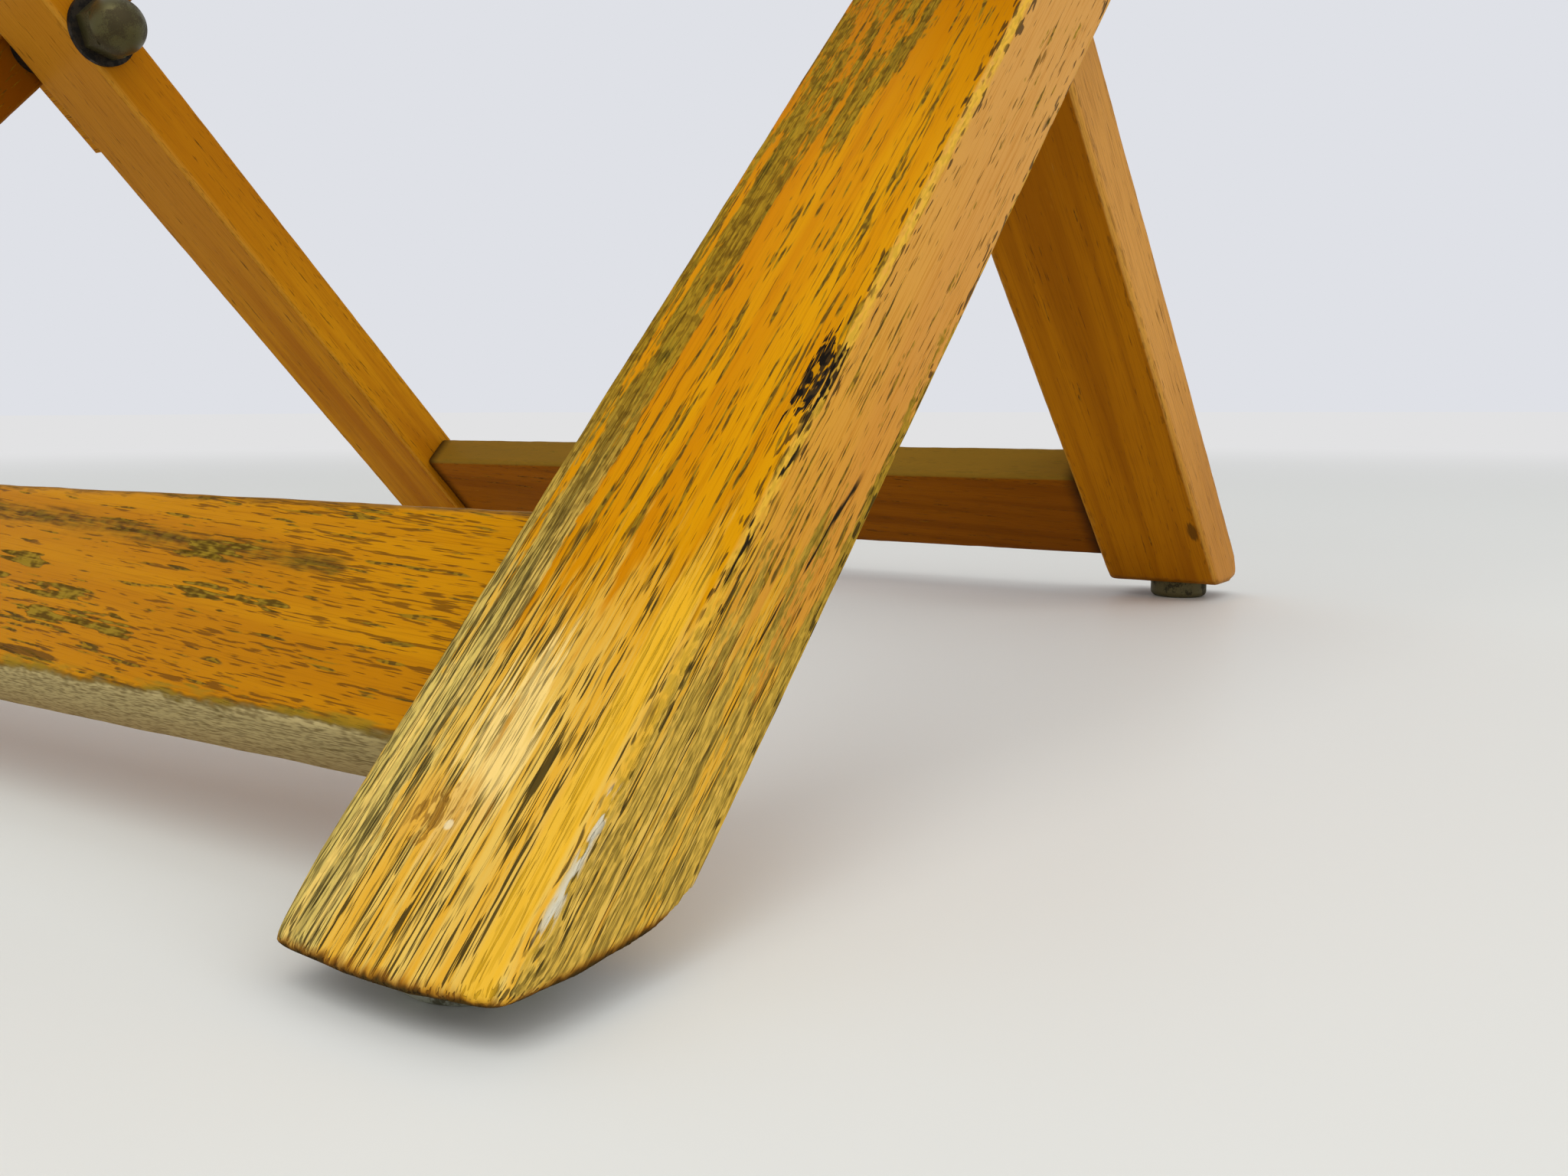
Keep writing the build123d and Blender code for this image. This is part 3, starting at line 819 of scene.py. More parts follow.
class FrontLegPaint(OuterLegPaint):
    """The right outer leg: weathered along its inner edge, rubbed along its outer edge, and scarred."""

    def worn(self) -> Shares:
        """Weathered bands, an outer side paler towards the top as partly faded varnish and partly painted
        light and sheen, a rubbed outer edge, and a pale patch on the foot that is partly rubbed wood and
        partly a painted sheen.

        Returns:
            How far the leg is worn, and where light and sheen are painted on it.
        """
        return replace(
            super().worn(),
            weathered=self.bands(),
            # Outer side paler towards the top: partly faded varnish, partly painted light and sheen
            faded_and_lit=self.outer_side * (self.rise(50, 190) * 0.55 + 0.35),
            edges=self.smooth(self.across, 2, 8) * 0.8 + 0.1,
            # Cream patch on the foot's front: partly rubbed wood, partly a painted sheen
            rubbed_and_sheen=self.spot(-1.2, 29, 4.8, 14, 1.0) * self.front,
        )

    def bands(self) -> Field:
        """Weathered band along the inner edge, olive band behind on the outer side, more at the foot.

        Returns:
            Share of weathered wood.
        """
        smooth = self.smooth
        line = self.rise(95, 190) * 13 - 10.0
        band = smooth(self.across - line, 2.0, -1.5)
        wander = self.across + self.sway(Pattern.BAND, 4)
        strips = self.most(smooth(abs(wander + 12.2), 3.4, 2.2), smooth(abs(wander + 19.4), 2.6, 1.5))
        strips = (strips * 0.21 - 0.12) * smooth(abs(self.along - 98), 66, 42) * self.front
        behind = smooth(self.depth, 6.0, 9.5) * self.outer_side * self.rise(150, 110)
        low = self.rise(100, 40) * self.outer_side
        strand = smooth(abs(wander - line + 1.2), 2.4, 1.2) * self.rise(125, 160)
        foot = self.rise(140, 90) * 0.04 + 0.14 + strand * 0.08
        return band * foot + strips + behind * 0.2 + low * 0.17 - 0.09

    def marks(self) -> list[Mark]:
        """Gold strip, nail spot, chips, scuff and a crack, then what every outer leg has.

        Returns:
            The marks.
        """
        smooth, noise, front = self.smooth, self.noise, self.front
        dark = self.finish.chip
        gold = smooth(abs(self.across - 15.2), 2.9, 1.7) * self.rise(66, 50) * front
        halo = self.spot(-3.6, 19, 6.0, 5.4, 0.9) * front
        smudge = noise(Pattern.PEEL) * 0.6 + noise(Pattern.SPECK, 1) * 0.4
        smudge = smooth(smudge - self.reach(-4.4, 18.8, 3.2, 2.8) * 0.16, 0.36, 0.44) * front
        dot = smooth(self.reach(-1.4, 17.6, 1.0, 1.0), 0.9, 0.5) * front
        near_edge = smooth(self.edge, 1.6, 0.7) * smooth(self.across, 5, 10)
        chip = noise(Pattern.CHIP, 3) * 0.7 + noise(Pattern.HAIR) * 0.3
        pale = smooth(chip, 0.49, 0.54) * smooth(abs(self.along - 17), 11, 7)
        black = smooth(chip, 0.52, 0.57) * smooth(abs(self.along - 68), 24, 12)
        grit = smooth(noise(Pattern.PEEL) * 0.5 + noise(Pattern.SPECK, 1) * 0.5, 0.38, 0.45)
        scuff = smooth(self.spot(17.6, 94, 2.2, 8.6, 1.5), 0.35, 0.65) * front * (grit * 0.75 + 0.25)
        scuff_tint = self.blend(self.speckle * 0.45, (26, 21, 16), (84, 62, 30))
        line = self.depth - (self.along - 49) * 0.13 + 0.5 + self.sway(Pattern.FLECK, 1.6)
        crack = smooth(abs(line), 0.45, 0.12) * smooth(abs(self.along - 69), 22, 17) * self.outer_side
        crack = crack * smooth(noise(Pattern.FLECK, 1), 0.4, 0.5)
        return [
            Mark(gold * 0.7, (244, 186, 36), -0.05),
            Mark(halo * 0.55, (226, 170, 66), 0.0),
            Mark(smudge * 0.65, (128, 82, 24), 0.1, 0.3),
            Mark(dot * 0.8, (246, 226, 176), 0.0),
            Mark(pale * near_edge, (212, 204, 178), 0.2, 0.3),
            Mark(black * near_edge, dark, 0.1, 0.5),
            Mark(scuff, scuff_tint, -0.1, 0.4),
            Mark(crack, dark, 0.2, 1.0),
            *super().marks(),
        ]


class RearLegPaint(OuterLegPaint):
    """The left outer leg, sound above its foot."""

    def worn(self) -> Shares:
        """Weathered at the foot alone, the outer side a little paler as partly faded varnish and partly
        painted light, and hardly rubbed.
        """
        weathered, faded_and_lit = self.rise(120, 60) * 0.12 - 0.16, self.outer_side * 0.3
        return replace(super().worn(), weathered=weathered, faded_and_lit=faded_and_lit, edges=0.25)


class OuterRailPaint(WoodPaint):
    """An outer rail: varnish with dark dashes towards its ends, and a grey underside."""

    def worn(self) -> Shares:
        """A few blotches, few flecks, hardly rubbed, with fine dark dashes towards the ends."""
        dashes = self.smooth(abs(self.along), 80, 185) * 0.085 - 0.04
        return Shares(weathered=-0.13, flecks=-0.045, pores=dashes, edges=0.25)

    def marks(self) -> list[Mark]:
        """Grey underside with a dull gold rim, a dull top, and a dark seam at the legs, partly grime and
        partly painted shade.

        Returns:
            The marks.
        """
        blend, smooth, noise = self.blend, self.smooth, self.noise
        wander = self.sway(Pattern.BLOT, 2.2) + self.sway(Pattern.PEEL, 1.2)
        ragged = self.across + self.grain.half_width - wander
        rim = smooth(abs(ragged - 1.8), 1.3, 0.4) * smooth(noise(Pattern.BLOT, 1), 0.42, 0.6)
        seam = smooth(abs(ragged - 1.1), 0.8, 0.2)
        grit = smooth(noise(Pattern.DASH, 3) * 0.6 + noise(Pattern.SPECK, 2) * 0.4, 0.4, 0.66)
        grey = blend(grit * 0.8, (190, 170, 116), (120, 102, 62))
        grey = blend(smooth(self.depth, -4.0, 7.0) * 0.45, grey, (136, 104, 62))
        top = smooth(self.across - self.grain.half_width + wander, -2.2, -0.9)
        return [
            Mark(smooth(ragged, 1.5, 0.6), grey, 0.3, 0.2),
            Mark(seam * 0.6, (84, 70, 26), 0.2, 0.3),
            Mark(rim * 0.7, (150, 122, 30), 0.2, 0.2),
            Mark(top * 0.55, (96, 66, 20), 0.1),
            # Seam at the legs: partly grime, partly painted shade
            self.shoulder_grime_and_shade(),
        ]


class LowRailPaint(OuterRailPaint):
    """The lower outer rail, with a dark streak and olive blotches."""

    def marks(self) -> list[Mark]:
        """Streak and blotches, then what every outer rail has.

        Returns:
            The marks.
        """
        blend, smooth, noise, front = self.blend, self.smooth, self.noise, self.front
        dark = (88, 58, 16)
        dust = smooth(noise(Pattern.DASH, 3) * 0.4 + noise(Pattern.PEEL, 1) * 0.6, 0.4, 0.6)
        olive = blend(dust, (156, 126, 34), (88, 66, 14))
        thread = smooth(noise(Pattern.DASH) * 0.5 + noise(Pattern.FLECK, 2) * 0.5, 0.4, 0.54)
        streak = self.stroke((40, 15.0), (176, 6.6), 1.7, 1.1, 1.7) * front * (thread * 0.5 + 0.5)
        low = self.stroke((20, -15.4), (132, -17.0), 0.6, 1.8) * front
        blotch = self.most(*(self.stroke(start, end, 0.8, 2.2) * front for start, end in (
            ((88, -3.0), (116, -4.2)), ((136, 0.2), (168, -2.2)), ((98, -8.0), (138, -10.0)),
            ((70, -2.0), (86, -2.0)), ((60, 2.6), (96, 2.0)), ((128, 8.6), (152, 9.0)),
        )))
        return [
            Mark(streak, blend(dust * 0.8 + 0.2, (128, 98, 22), dark), 0.15, 0.3),
            Mark(low * 0.8, dark, 0.1, 0.3),
            Mark(smooth(blotch, 0.05, 0.4) * 0.6, dark, 0.1, 0.2),
            Mark(smooth(blotch, 0.4, 0.95) * 0.9, olive, 0.3, 0.3),
            *super().marks(),
        ]


@dataclass(frozen=True)
class MetalFinish:
    """A metal with a darker patina in patches, and fine scratches."""

    bright: Tone
    patina: Tone
    share: float
    metallic: float
    roughness: float
    patch_mm: float = 3.0

    def material(self, name: str) -> bpy.types.Material:
        """Paint the metal.

        Args:
            name: Name of the material.

        Returns:
            The finished material.
        """
        paint = Paint.material(name)
        place = paint.mapped(paint.place(), scale=(PER_METRE,) * 3)
        patch = paint.cloud(place, 3.0, 1 / self.patch_mm)
        grit = paint.cloud(place, 1.0, 2.2)
        scratch = paint.cloud(paint.mapped(place, rotation=(0.4, 0.3, 0.6), scale=(0.3, 6.0, 6.0)), 1.0)
        dull = paint.smooth(patch * 0.75 + grit * 0.25, 0.62 - self.share * 0.3, 0.74 - self.share * 0.3)
        colour = paint.blend(dull, self.bright, self.patina)
        colour = paint.blend(paint.smooth(scratch, 0.62, 0.72) * 0.35, colour, self.bright)
        rough = dull * 0.22 + grit * 0.12 + self.roughness
        paint.set(Base_Color=colour, Metallic=self.metallic, Roughness=rough)
        paint.bump(patch * 0.5 + grit * 0.3 - scratch * 0.2, METAL_RELIEF)
        return paint.owner


BRONZED = MetalFinish((84, 78, 44), (68, 59, 34), 0.5, 0.7, 0.34, 9.0)
# Near-black iron for the pivot spacer and washer: partly their own dark finish, partly painted shade round
# the cap nut
DARK_IRON_AND_SHADE = MetalFinish((44, 36, 24), (24, 20, 14), 0.6, 0.6, 0.5)
ZINC = MetalFinish((176, 177, 158), (98, 94, 70), 0.45, 0.4, 0.42, 4.0)
TARNISHED = MetalFinish((96, 88, 52), (58, 52, 28), 0.5, 0.5, 0.5, 5.0)
STEEL = MetalFinish((150, 146, 138), (88, 82, 70), 0.4, 0.85, 0.34, 1.5)


def start(kind: str, **settings: Any) -> Piece:
    """Add a primitive.

    Args:
        kind: Its name in Blender.
        settings: Its size and place.

    Returns:
        The primitive, the only piece selected.
    """
    bpy.ops.object.select_all(action="DESELECT")
    getattr(bpy.ops.mesh, f"primitive_{kind}_add")(**settings)
    return bpy.context.object


def only(piece: Piece) -> None:
    """Make a piece the only one selected, and the active one.

    Args:
        piece: The piece.
    """
    bpy.ops.object.select_all(action="DESELECT")
    piece.select_set(True)
    bpy.context.view_layer.objects.active = piece


def pick_edges(piece: Piece, test: Callable[[Vector, Vector], bool]) -> None:
    """Select, in edit mode, some edges of a piece.

    Args:
        piece: The piece.
        test: Whether the edge between two points is picked.
    """
    bpy.ops.mesh.select_mode(type="EDGE")
    bpy.ops.mesh.select_all(action="DESELECT")
    shape = bmesh.from_edit_mesh(piece.data)
    for edge in shape.edges:
        edge.select_set(test(edge.verts[0].co, edge.verts[1].co))
    bmesh.update_edit_mesh(piece.data)


def bevel(offset: float, segments: int) -> None:
    """Round the selected edges."""
    bpy.ops.mesh.bevel(offset=offset, segments=segments, profile=0.5, affect="EDGES", clamp_overlap=True)


def apply(piece: Piece, kind: str, **settings: Any) -> None:
    """Add a modifier and apply it.

    Args:
        piece: The piece.
        kind: Type of the modifier.
        settings: What is set on it.
    """
    only(piece)
    modifier = piece.modifiers.new(kind.lower(), kind)
    for key, value in settings.items():
        setattr(modifier, key, value)
    bpy.ops.object.modifier_apply(modifier=modifier.name)


def weigh(piece: Piece, name: str, weight_of: Callable[[Vector], float]) -> None:
    """Give a piece a vertex group.

    Args:
        piece: The piece.
        name: Name of the group.
        weight_of: Weight of a point, which counts only from 0 to 1.
    """
    group = piece.vertex_groups.new(name=name)
    for vertex in piece.data.vertices:
        weight = weight_of(vertex.co)
        if weight > 0:
            group.add([vertex.index], min(1.0, weight), "REPLACE")


@dataclass(frozen=True)
class Scar:
    """A shallow hollow in a leg's front face or outer edge: its place and half sizes, in millimetres."""

    across: float
    along: float
    half_across: float
    half_along: float
    sink: float


@dataclass
class Board:
    """A board of one frame, modelled upright about the pivot and then leaned into place."""

    node: str
    way: Way
    body: str
    slot: str
    finish: WoodFinish
    paint: type[WoodPaint]
    seed: float

    @property
    def turn(self) -> float:
        """Angle about X that leans the upright board into place."""
        return -self.way.value * LEAN

    def level(self, height: float) -> tuple[Vector, Vector]:
        """A level plane at a height, as the upright board sees it: a point and its normal."""
        normal = Vector((0, math.sin(self.turn), math.cos(self.turn)))
        return normal * (height - PIVOT_HEIGHT), normal

    def sole(self) -> tuple[Vector, Vector]:
        """The plane of the sole, as the upright board sees it: a point and its normal."""
        toe, heel = sole_ends(self.way)
        return toe, Vector((1, 0, 0)).cross(heel - toe).normalized() * self.way.value

    def block(self, low: Vector, high: Vector) -> Piece:
        """Start the board.

        Args:
            low: Lowest corner.
            high: Highest corner.

        Returns:
            A block between the corners, in edit mode.
        """
        piece = start("cube", size=1.0, location=(low + high) / 2, scale=high - low)
        piece.name = self.node + "_wood"
        bpy.ops.object.transform_apply(location=True, rotation=True, scale=True)
        bpy.ops.object.mode_set(mode="EDIT")
        return piece

    def saw(self, plane: tuple[Vector, Vector], keep_below: bool) -> None:
        """Saw the board off at a plane."""
        bpy.ops.mesh.select_all(action="SELECT")
        bpy.ops.mesh.bisect(plane_co=plane[0], plane_no=plane[1], use_fill=True,
                            clear_outer=keep_below, clear_inner=not keep_below)

    def age(self, piece: Piece, edge: Callable[[Vector], float], features: Callable[..., Vector]) -> None:
        """Mesh the board evenly, then wear its edges and let its faces wander a little.

        Args:
            piece: The sawn and rounded board, still upright.
            edge: Distance of a point from the nearest long edge.
            features: Turns sizes across, through and along the grain into sizes along the axes.
        """
        apply(piece, "REMESH", mode="VOXEL", voxel_size=VOXEL)
        weigh(piece, "edges", lambda p: 1 - edge(p) / WORN_EDGE)
        self.rub(piece, features(2.5, 2.5, 9), 0.3 * MM, 0.4, "edges")
        self.rub(piece, features(11, 11, 60), 0.22 * MM, 0.4, "")

    def rub(self, piece: Piece, feature: Vector, amount: float, level: float, group: str) -> None:
        """Press the surface in by an uneven amount.

        Args:
            piece: The board.
            feature: Size of the unevenness along the axes, in millimetres.
            amount: Range of the unevenness.
            level: Share of that range that lies inwards.
            group: Vertex group that it is held to, or none.
        """
        texture = bpy.data.textures.new("rub", "CLOUDS")
        texture.noise_scale = 1.0
        texture.noise_depth = 1
        guide = bpy.data.objects.new("guide", None)
        bpy.context.scene.collection.objects.link(guide)
        guide.scale = feature * MM
        guide.location = Vector((self.seed, 3, 5)) * feature.y * MM
        bpy.context.view_layer.update()
        apply(
            piece, "DISPLACE", texture=texture, texture_coords="OBJECT", texture_coords_object=guide,
            strength=amount, mid_level=level, vertex_group=group,
        )
        bpy.data.objects.remove(guide, do_unlink=True)
        bpy.data.textures.remove(texture)

    def stand(self, piece: Piece) -> None:
        """Lean the upright board into place and let it stand for its solid.

        Args:
            piece: The board.
        """
        only(piece)
        piece.rotation_euler = (self.turn, 0, 0)
        piece.location = (0, 0, PIVOT_HEIGHT)
        bpy.ops.object.transform_apply(location=True, rotation=True, scale=True)
        bpy.ops.object.shade_smooth()
        piece.vertex_groups.clear()
        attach(piece, self.body)
        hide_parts(self.node)

    def coat(self, piece: Piece, grain: Grain) -> None:
        """Give the board its wood.

        Args:
            piece: The board.
            grain: Where its grain runs.
        """
        piece.data.materials.clear()
        piece.data.materials.append(self.paint(piece.name, grain, self.finish).build())
        log.info("%s: %d faces", piece.name, len(piece.data.polygons))


@dataclass
class Leg(Board):
    """A leg with level ends, a rounded heel, a pivot bore and worn edges."""

    side: Side = Side.RIGHT
    blank_length: float = 2.6 * LEG_LENGTH_BELOW
    heel_radius: float = 25 * MM
    crown_radius: float = 4 * MM
    toe_radius: float = 0.6 * MM
    edge_radius: float = 1.4 * MM
    bore: float = 10.1 * MM
    sole_rubs: int = 4
    corner_rubs: tuple[int, int] = (50, 85)
    corner_reach: float = 11 * MM
    scar_depth: float = 4 * MM
    scars: tuple[Scar, ...] = ()

    def build(self) -> Piece:
        """Model the leg.

        Returns:
            The leg in place.
        """
        low, high = (corner.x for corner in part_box(self.node))
        half, long = LEG_DEPTH / 2, self.blank_length / 2
        toe = -self.way.value * half
        piece = self.block(Vector((low, -half, -long)), Vector((high, half, long)))
        self.saw(self.sole(), keep_below=False)
        self.saw(self.level(TOP_HEIGHT - SPARE), keep_below=True)
        for depth, below, offset, segments in (
            (-toe, True, self.heel_radius * 0.36, 10),
            (toe, False, self.crown_radius * 0.41, 4),
            (toe, True, self.toe_radius * 2.5, 4),
        ):
            pick_edges(piece, lambda a, b: abs(a.z - b.z) < NEAR and all(
                abs(p.y - depth) < NEAR and (p.z < 0) == below for p in (a, b)))
            bevel(offset, segments)
        pick_edges(piece, lambda a, b: abs(a.x - b.x) < NEAR and min(abs(a.x - low), abs(a.x - high)) < NEAR)
        bevel(self.edge_radius, 4)
        bpy.ops.object.mode_set(mode="OBJECT")
        middle = (low + high) / 2
        self.drill(piece, middle, 2 * (high - low))
        self.age(piece, lambda p: max(min(p.x - low, high - p.x), half - abs(p.y)),
                 lambda across, through, along: Vector((across, through, along)))
        self.blunt_sole(piece, low, high)
        for scar in self.scars:
            self.hollow(piece, scar, middle)
        self.stand(piece)
        return piece

    def drill(self, piece: Piece, middle: float, length: float) -> None:
        """Drill the hole for the pivot bolt.

        Args:
            piece: The leg, still upright.
            middle: X of its middle.
            length: Length of the drill.
        """
        drill = start("cylinder", vertices=32, radius=self.bore / 2, depth=length, location=(middle, 0, 0),
                      rotation=(0, math.pi / 2, 0))
        apply(piece, "BOOLEAN", operation="DIFFERENCE", object=drill, solver="EXACT")
        bpy.data.objects.remove(drill, do_unlink=True)

    def blunt_sole(self, piece: Piece, low: float, high: float) -> None:
        """Rub the rim of the sole round, most of all at the corners of the toe.

        Args:
            piece: The leg, still upright.
            low: X of its one side.
            high: X of its other side.
        """
        toe, normal = self.sole()
        weigh(piece, "rim", lambda p: 1.4 - (p - toe).dot(normal) / (5 * MM))
        apply(piece, "SMOOTH", factor=0.5, iterations=self.sole_rubs, vertex_group="rim")
        sides = (low, high) if self.side is Side.RIGHT else (high, low)
        for name, x, rubs in zip(("inner_tip", "outer_tip"), sides, self.corner_rubs):
            corner = Vector((x, toe.y, toe.z))
            weigh(piece, name, lambda p: 1.3 - (p - corner).length / self.corner_reach)
            apply(piece, "SMOOTH", factor=0.5, iterations=rubs, vertex_group=name)

    def hollow(self, piece: Piece, scar: Scar, middle: float) -> None:
        """Sink a scar into the front of the leg.

        Args:
            piece: The leg, still upright.
            scar: The scar.
            middle: X of the leg's middle.
        """

        def weight_of(point: Vector) -> float:
            """How far a point is sunk.

            Args:
                point: A point of the leg.

            Returns:
                1 in the middle of the scar and 0 at its rim.
            """
            across = (self.side.value * (point.x - middle) * PER_METRE - scar.across) / scar.half_across
            along = ((point.z + LEG_LENGTH_BELOW) * PER_METRE - scar.along) / scar.half_along
            in_front = point.y < self.scar_depth - LEG_DEPTH / 2
            return 1 - across * across - along * along if in_front else 0.0

        weigh(piece, "scar", weight_of)
        apply(piece, "DISPLACE", strength=-scar.sink * MM, mid_level=0.0, vertex_group="scar")
        piece.vertex_groups.clear()

    def dress(self, piece: Piece) -> None:
        """Give the leg its wood.

        Args:
            piece: The leg in place.
        """
        low, high = (corner.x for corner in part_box(self.node))
        width = (high - low) / 2 * PER_METRE
        middle = abs(low + high) / 2 * PER_METRE
        self.coat(piece, Grain(self.way, width, LEG_DEPTH / 2 * PER_METRE, middle, self.side, seed=self.seed))


@dataclass
class Rail(Board):
    """A rail between two legs."""

    thickness: float = 15 * MM
    tenon_length: float = 24 * MM
    edge_radius: float = 1.4 * MM
    low_rise: float = 0.0
    high_rise: float = 0.0
    level_top: bool = False
    slant: float = 0.07

    @property
    def shoulder(self) -> float:
        """X of the rail's end at its leg."""
        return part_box(self.node)[1].x - self.tenon_length

    def build(self) -> Piece:
        """Model the rail.

        Returns:
            The rail in place.
        """
        reach = self.shoulder
        half = self.thickness / 2
        spare = self.thickness * math.tan(LEAN) if self.level_top else 0.0
        high = Vector((reach, half, self.high_rise + spare))
        piece = self.block(Vector((-reach, -half, self.low_rise)), high)
        if self.level_top:
            self.saw(self.level(TOP_HEIGHT - SPARE), keep_below=True)
        pick_edges(piece, lambda a, b: abs(a.x - b.x) > reach)
        bevel(self.edge_radius, 4)
        bpy.ops.object.mode_set(mode="OBJECT")
        top = max(v.co.z for v in piece.data.vertices)
        self.age(piece, lambda p: max(min(p.z - self.low_rise, top - p.z), half - abs(p.y)),
                 lambda across, through, along: Vector((along, through, across)))
        self.stand(piece)
        return piece

    def dress(self, piece: Piece) -> None:
        """Give the rail its wood.

        Args:
            piece: The rail in place.
        """
        height = (self.high_rise - self.low_rise) / 2 * PER_METRE
        middle = ((self.low_rise + self.high_rise) / 2 + LEG_LENGTH_BELOW) * PER_METRE
        half = self.thickness / 2 * PER_METRE
        self.coat(piece, Grain(self.way, height, half, middle, rail=True, seed=self.seed, slant=self.slant,
                               shoulder=self.shoulder * PER_METRE))


@dataclass
class StandFrame:
    """One of the two crossing frames: two legs, a lower rail and a top rail."""

    name: str
    way: Way
    leg_wood: dict[Side, WoodFinish]
    rail_wood: WoodFinish
    leg_paint: dict[Side, type[WoodPaint]]
    low_rail_paint: type[WoodPaint]
    top_rail_paint: type[WoodPaint]
    heel_radius: float
    seed: float
    scars: dict[Side, tuple[Scar, ...]] = field(default_factory=dict)
    top_rail_thickness: float = 18 * MM

    def boards(self) -> list[Board]:
        """The frame's boards.

        Returns:
            Two legs and two rails, not yet modelled.
        """
        common = {"way": self.way, "body": f"{self.name}_frame", "slot": f"{self.name}_frame_wood"}
        made: list[Board] = [
            Leg(f"{self.name}_leg_{side.name.lower()}", finish=self.leg_wood[side],
                paint=self.leg_paint[side], side=side, seed=self.seed + side.value,
                heel_radius=self.heel_radius, scars=self.scars.get(side, ()), **common)
            for side in Side
        ]
        common["finish"] = self.rail_wood
        lower = LOWER_RAIL_UP_LEG - LEG_LENGTH_BELOW
        made.append(Rail(f"{self.name}_lower_rail", paint=self.low_rail_paint, seed=self.seed + 2.4,
                         low_rise=lower, high_rise=lower + LOWER_RAIL_HEIGHT, **common))
        made.append(Rail(f"{self.name}_top_rail", paint=self.top_rail_paint, seed=self.seed + 5.2,
                         thickness=self.top_rail_thickness, low_rise=CROWN_RISE - TOP_RAIL_HEIGHT,
                         high_rise=CROWN_RISE, level_top=True, **common))
        return made

    def build(self) -> None:
        """Model and dress the frame."""
        for board in self.boards():
            board.dress(board.build())


@dataclass
class Hardware:
    """Pivots, glides, pegs and stops, whose solids keep their shapes and get their finishes here."""

    metals: tuple[tuple[str, MetalFinish], ...] = (
        ("pivot_bolt", BRONZED), ("pivot_cap_nut", BRONZED), ("pivot_spacer", DARK_IRON_AND_SHADE),
        ("pivot_washer", DARK_IRON_AND_SHADE), ("outer_glide_right", ZINC), ("outer_glide_left", ZINC),
        ("inner_glide_right", TARNISHED), ("inner_glide_left", TARNISHED), ("outer_glide_nails", STEEL),
        ("inner_glide_nails", STEEL), ("stop_screws", STEEL),
    )
    unworn: float = 60.0

    def dress(self) -> None:
        """Give each solid its finish, with wood too wide for worn edges on the pegs and stop blocks."""
        for stem, finish in self.metals:
            self.coat(stem, finish.material(stem + "_metal"))
        for stem, name, finish, grain in (
            ("outer_rail_pegs", "outer_peg_ends", OUTER_LEG_WOOD, self.plain(Way.BACK, 4.0)),
            ("inner_rail_pegs", "inner_peg_ends", INNER_LEG_WOOD, self.plain(Way.FORWARD, 2.0)),
            ("stop_block", "stop_block_wood", INNER_LEG_WOOD, self.plain(Way.FORWARD, 8.0, True)),
        ):
            self.coat(stem, WoodPaint(name, grain, finish).build())

    def plain(self, way: Way, seed: float, rail: bool = False) -> Grain:
        """Grain of a small piece, with no edge near."""
        return Grain(way, self.unworn, self.unworn, 0.0, rail=rail, seed=seed)

    def coat(self, stem: str, material: bpy.types.Material) -> None:
        """Finish every solid whose name starts with a stem.

        Args:
            stem: Start of the solids' names.
            material: Their finish.
        """
        for node in frame["nodes"]:
            name = node if isinstance(node, str) else node["name"]
            if name.startswith(stem):
                for held in bpy.data.objects[name].material_slots:
                    held.material = material
                log.info("%s: %s", name, material.name)


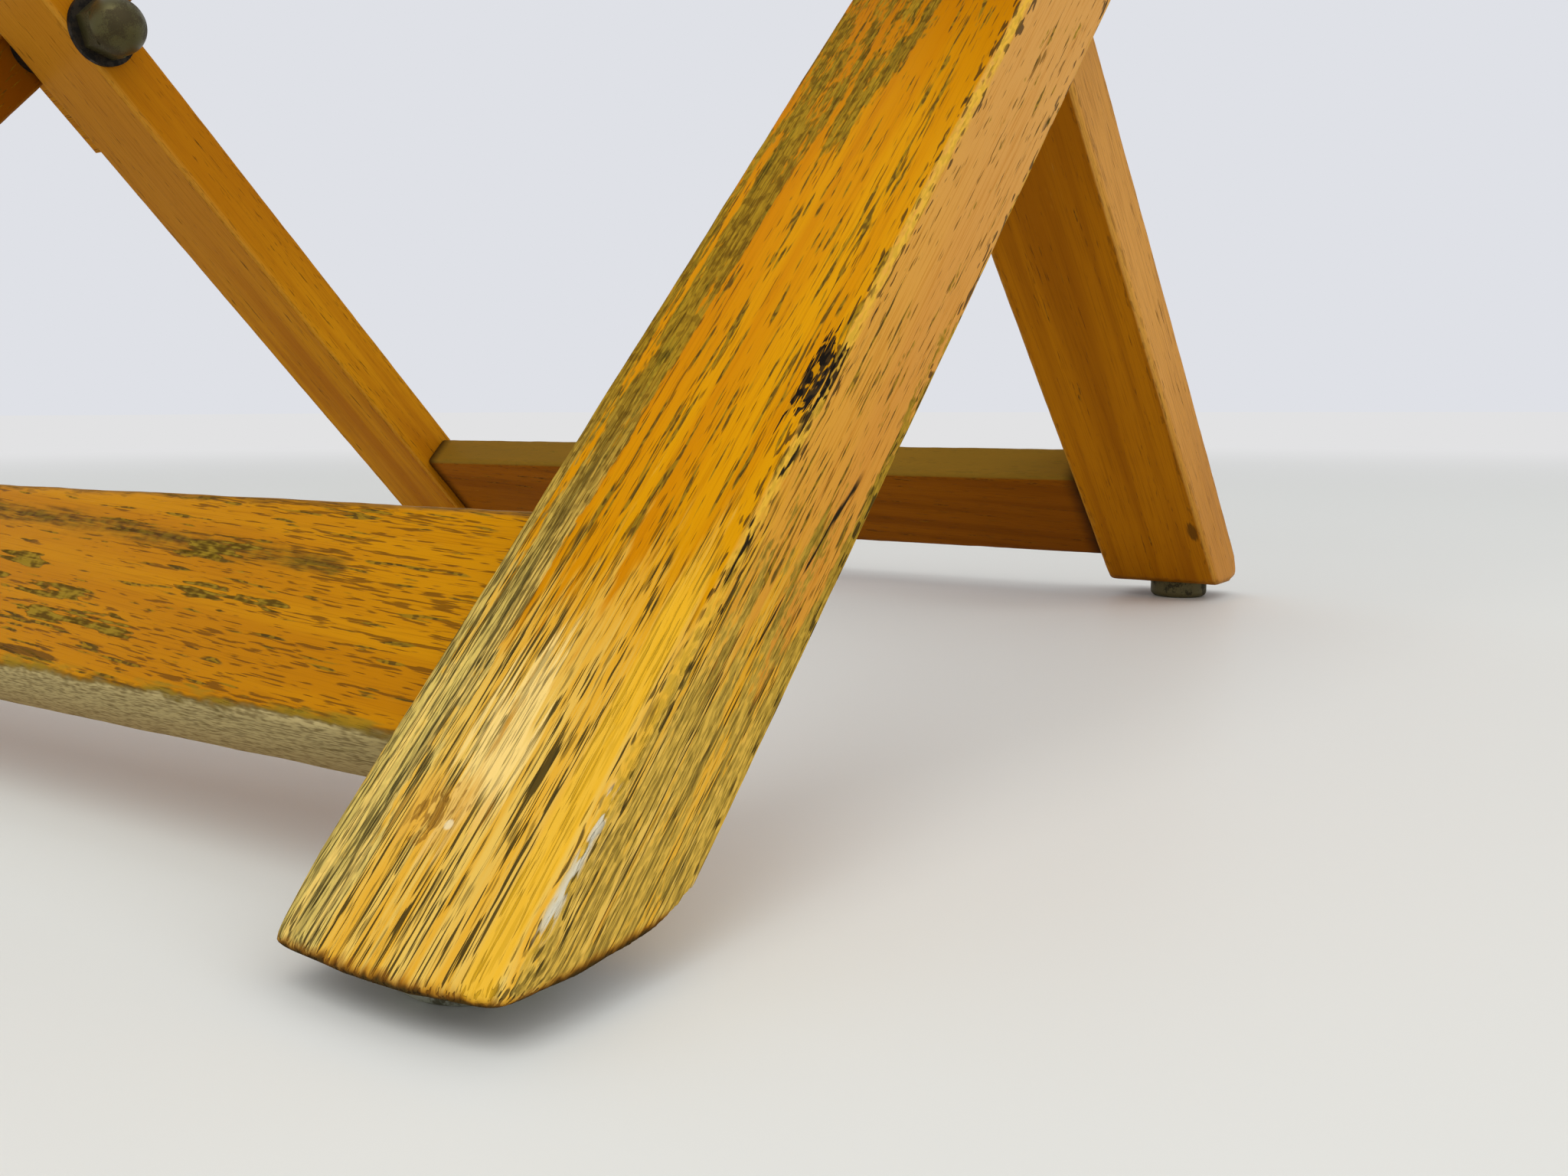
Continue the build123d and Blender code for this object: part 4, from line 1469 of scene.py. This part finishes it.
@dataclass
class Studio:
    """Pale floor, soft light and the camera. A lamp has a name, a place, a width and a power."""

    camera_place: Vector = Vector((0.3514, -0.3178, 0.0700))
    yaw: float = math.radians(33.50)
    pitch: float = math.radians(-7.306)
    roll: float = math.radians(-0.172)
    focal_pixels: float = 1846.0
    image_width: float = 2048.0
    sensor_width: float = 36.0
    floor_size: float = 30.0
    floor_tone: Tone = (233, 233, 227)
    floor_roughness: float = 0.45
    floor_gloss: float = 0.06
    haze_tone: Tone = (226, 226, 227)
    haze: tuple[float, float] = (0.8, 2.2)
    wall_tone: Tone = (223, 225, 231)
    room_tone: Tone = (246, 248, 252)
    room_strength: float = 0.66
    lamps: tuple[tuple[str, tuple[float, float, float], float, float], ...] = (
        ("key", (0.6, -1.3, 2.0), 1.8, 17.0),
        ("right_fill", (2.1, -0.3, 1.6), 2.2, 14.0),
    )
    lit_place: Vector = Vector((0, 0, 0.1))

    def set_camera(self) -> None:
        """Put the camera where the picture was taken from."""
        lens = bpy.data.cameras.new("camera")
        lens.sensor_width = self.sensor_width
        lens.lens = self.focal_pixels / self.image_width * self.sensor_width
        lens.clip_start = 0.01
        camera = bpy.data.objects.new("camera", lens)
        forward = Vector((-math.sin(self.yaw), math.cos(self.yaw), 0)) * math.cos(self.pitch)
        forward.z = math.sin(self.pitch)
        right = Vector((math.cos(self.yaw), math.sin(self.yaw), 0))
        upward = right.cross(forward)
        across = right * math.cos(self.roll) + upward * math.sin(self.roll)
        over = upward * math.cos(self.roll) - right * math.sin(self.roll)
        turn = Matrix((across, over, -forward)).transposed().to_4x4()
        camera.matrix_world = Matrix.Translation(self.camera_place) @ turn
        bpy.context.scene.collection.objects.link(camera)
        bpy.context.scene.camera = camera

    def lay_floor(self) -> None:
        """A pale floor that fades into the room far off."""
        floor = start("plane", size=self.floor_size)
        floor.name = "floor"
        paint = Paint.material("pale_floor")
        paint.set(Base_Color=self.floor_tone, Roughness=self.floor_roughness)
        paint.set(Specular_IOR_Level=self.floor_gloss)
        x, y, _ = paint.parts(paint.place())
        far = paint.smooth(paint.math("SQRT", x * x + y * y), *self.haze)
        glow = paint.node("Emission", {"Color": self.haze_tone, "Strength": 1.0})
        paint.shader(far * paint.seen(), paint.tree.nodes["Principled BSDF"], glow)
        floor.data.materials.append(paint.owner)

    def light(self) -> None:
        """A soft light above the camera, a weaker one at the right, and a pale room."""
        for name, place, size, power in self.lamps:
            lamp = bpy.data.lights.new(name, "AREA")
            lamp.shape = "DISK"
            lamp.size = size
            lamp.energy = power
            shine = bpy.data.objects.new(name, lamp)
            shine.location = place
            shine.rotation_euler = (self.lit_place - Vector(place)).to_track_quat("-Z", "Y").to_euler()
            bpy.context.scene.collection.objects.link(shine)
        world = bpy.data.worlds.new("pale_room")
        bpy.context.scene.world = world
        paint = Paint(world)
        room = paint.tree.nodes["Background"]
        paint.feed(room.inputs["Color"], self.room_tone)
        paint.feed(room.inputs["Strength"], self.room_strength)
        wall = paint.node("Background", {"Color": self.wall_tone, "Strength": 1.0})
        paint.shader(paint.seen(), room, wall)

    def build(self) -> None:
        """Set the whole studio."""
        bpy.context.scene.view_settings.view_transform = "Standard"
        self.set_camera()
        self.lay_floor()
        self.light()


def main() -> None:
    """Build the two frames, dress the hardware and set the studio."""
    logging.basicConfig(level=logging.INFO, format="%(name)s: %(message)s")
    nail_spot, scuff, chipped = (
        Scar(-4.6, 18.5, 3.0, 3.0, 0.35), Scar(17.8, 94, 2.6, 9.0, 0.5), Scar(19.5, 17, 2.2, 9, 0.5)
    )
    StandFrame(
        "outer", Way.BACK, {Side.RIGHT: OUTER_LEG_WOOD, Side.LEFT: REAR_LEG_WOOD}, OUTER_RAIL_WOOD,
        {Side.RIGHT: FrontLegPaint, Side.LEFT: RearLegPaint}, LowRailPaint, OuterRailPaint,
        heel_radius=22 * MM, seed=1.0, scars={Side.RIGHT: (nail_spot, scuff, chipped)},
    ).build()
    StandFrame(
        "inner", Way.FORWARD, {Side.RIGHT: FAR_LEG_WOOD, Side.LEFT: NEAR_LEG_WOOD}, INNER_RAIL_WOOD,
        {Side.RIGHT: FarLegPaint, Side.LEFT: NearLegPaint}, InnerRailPaint, InnerRailPaint,
        heel_radius=8 * MM, seed=9.0,
    ).build()
    Hardware().dress()
    Studio().build()


if __name__ == "__main__":
    main()
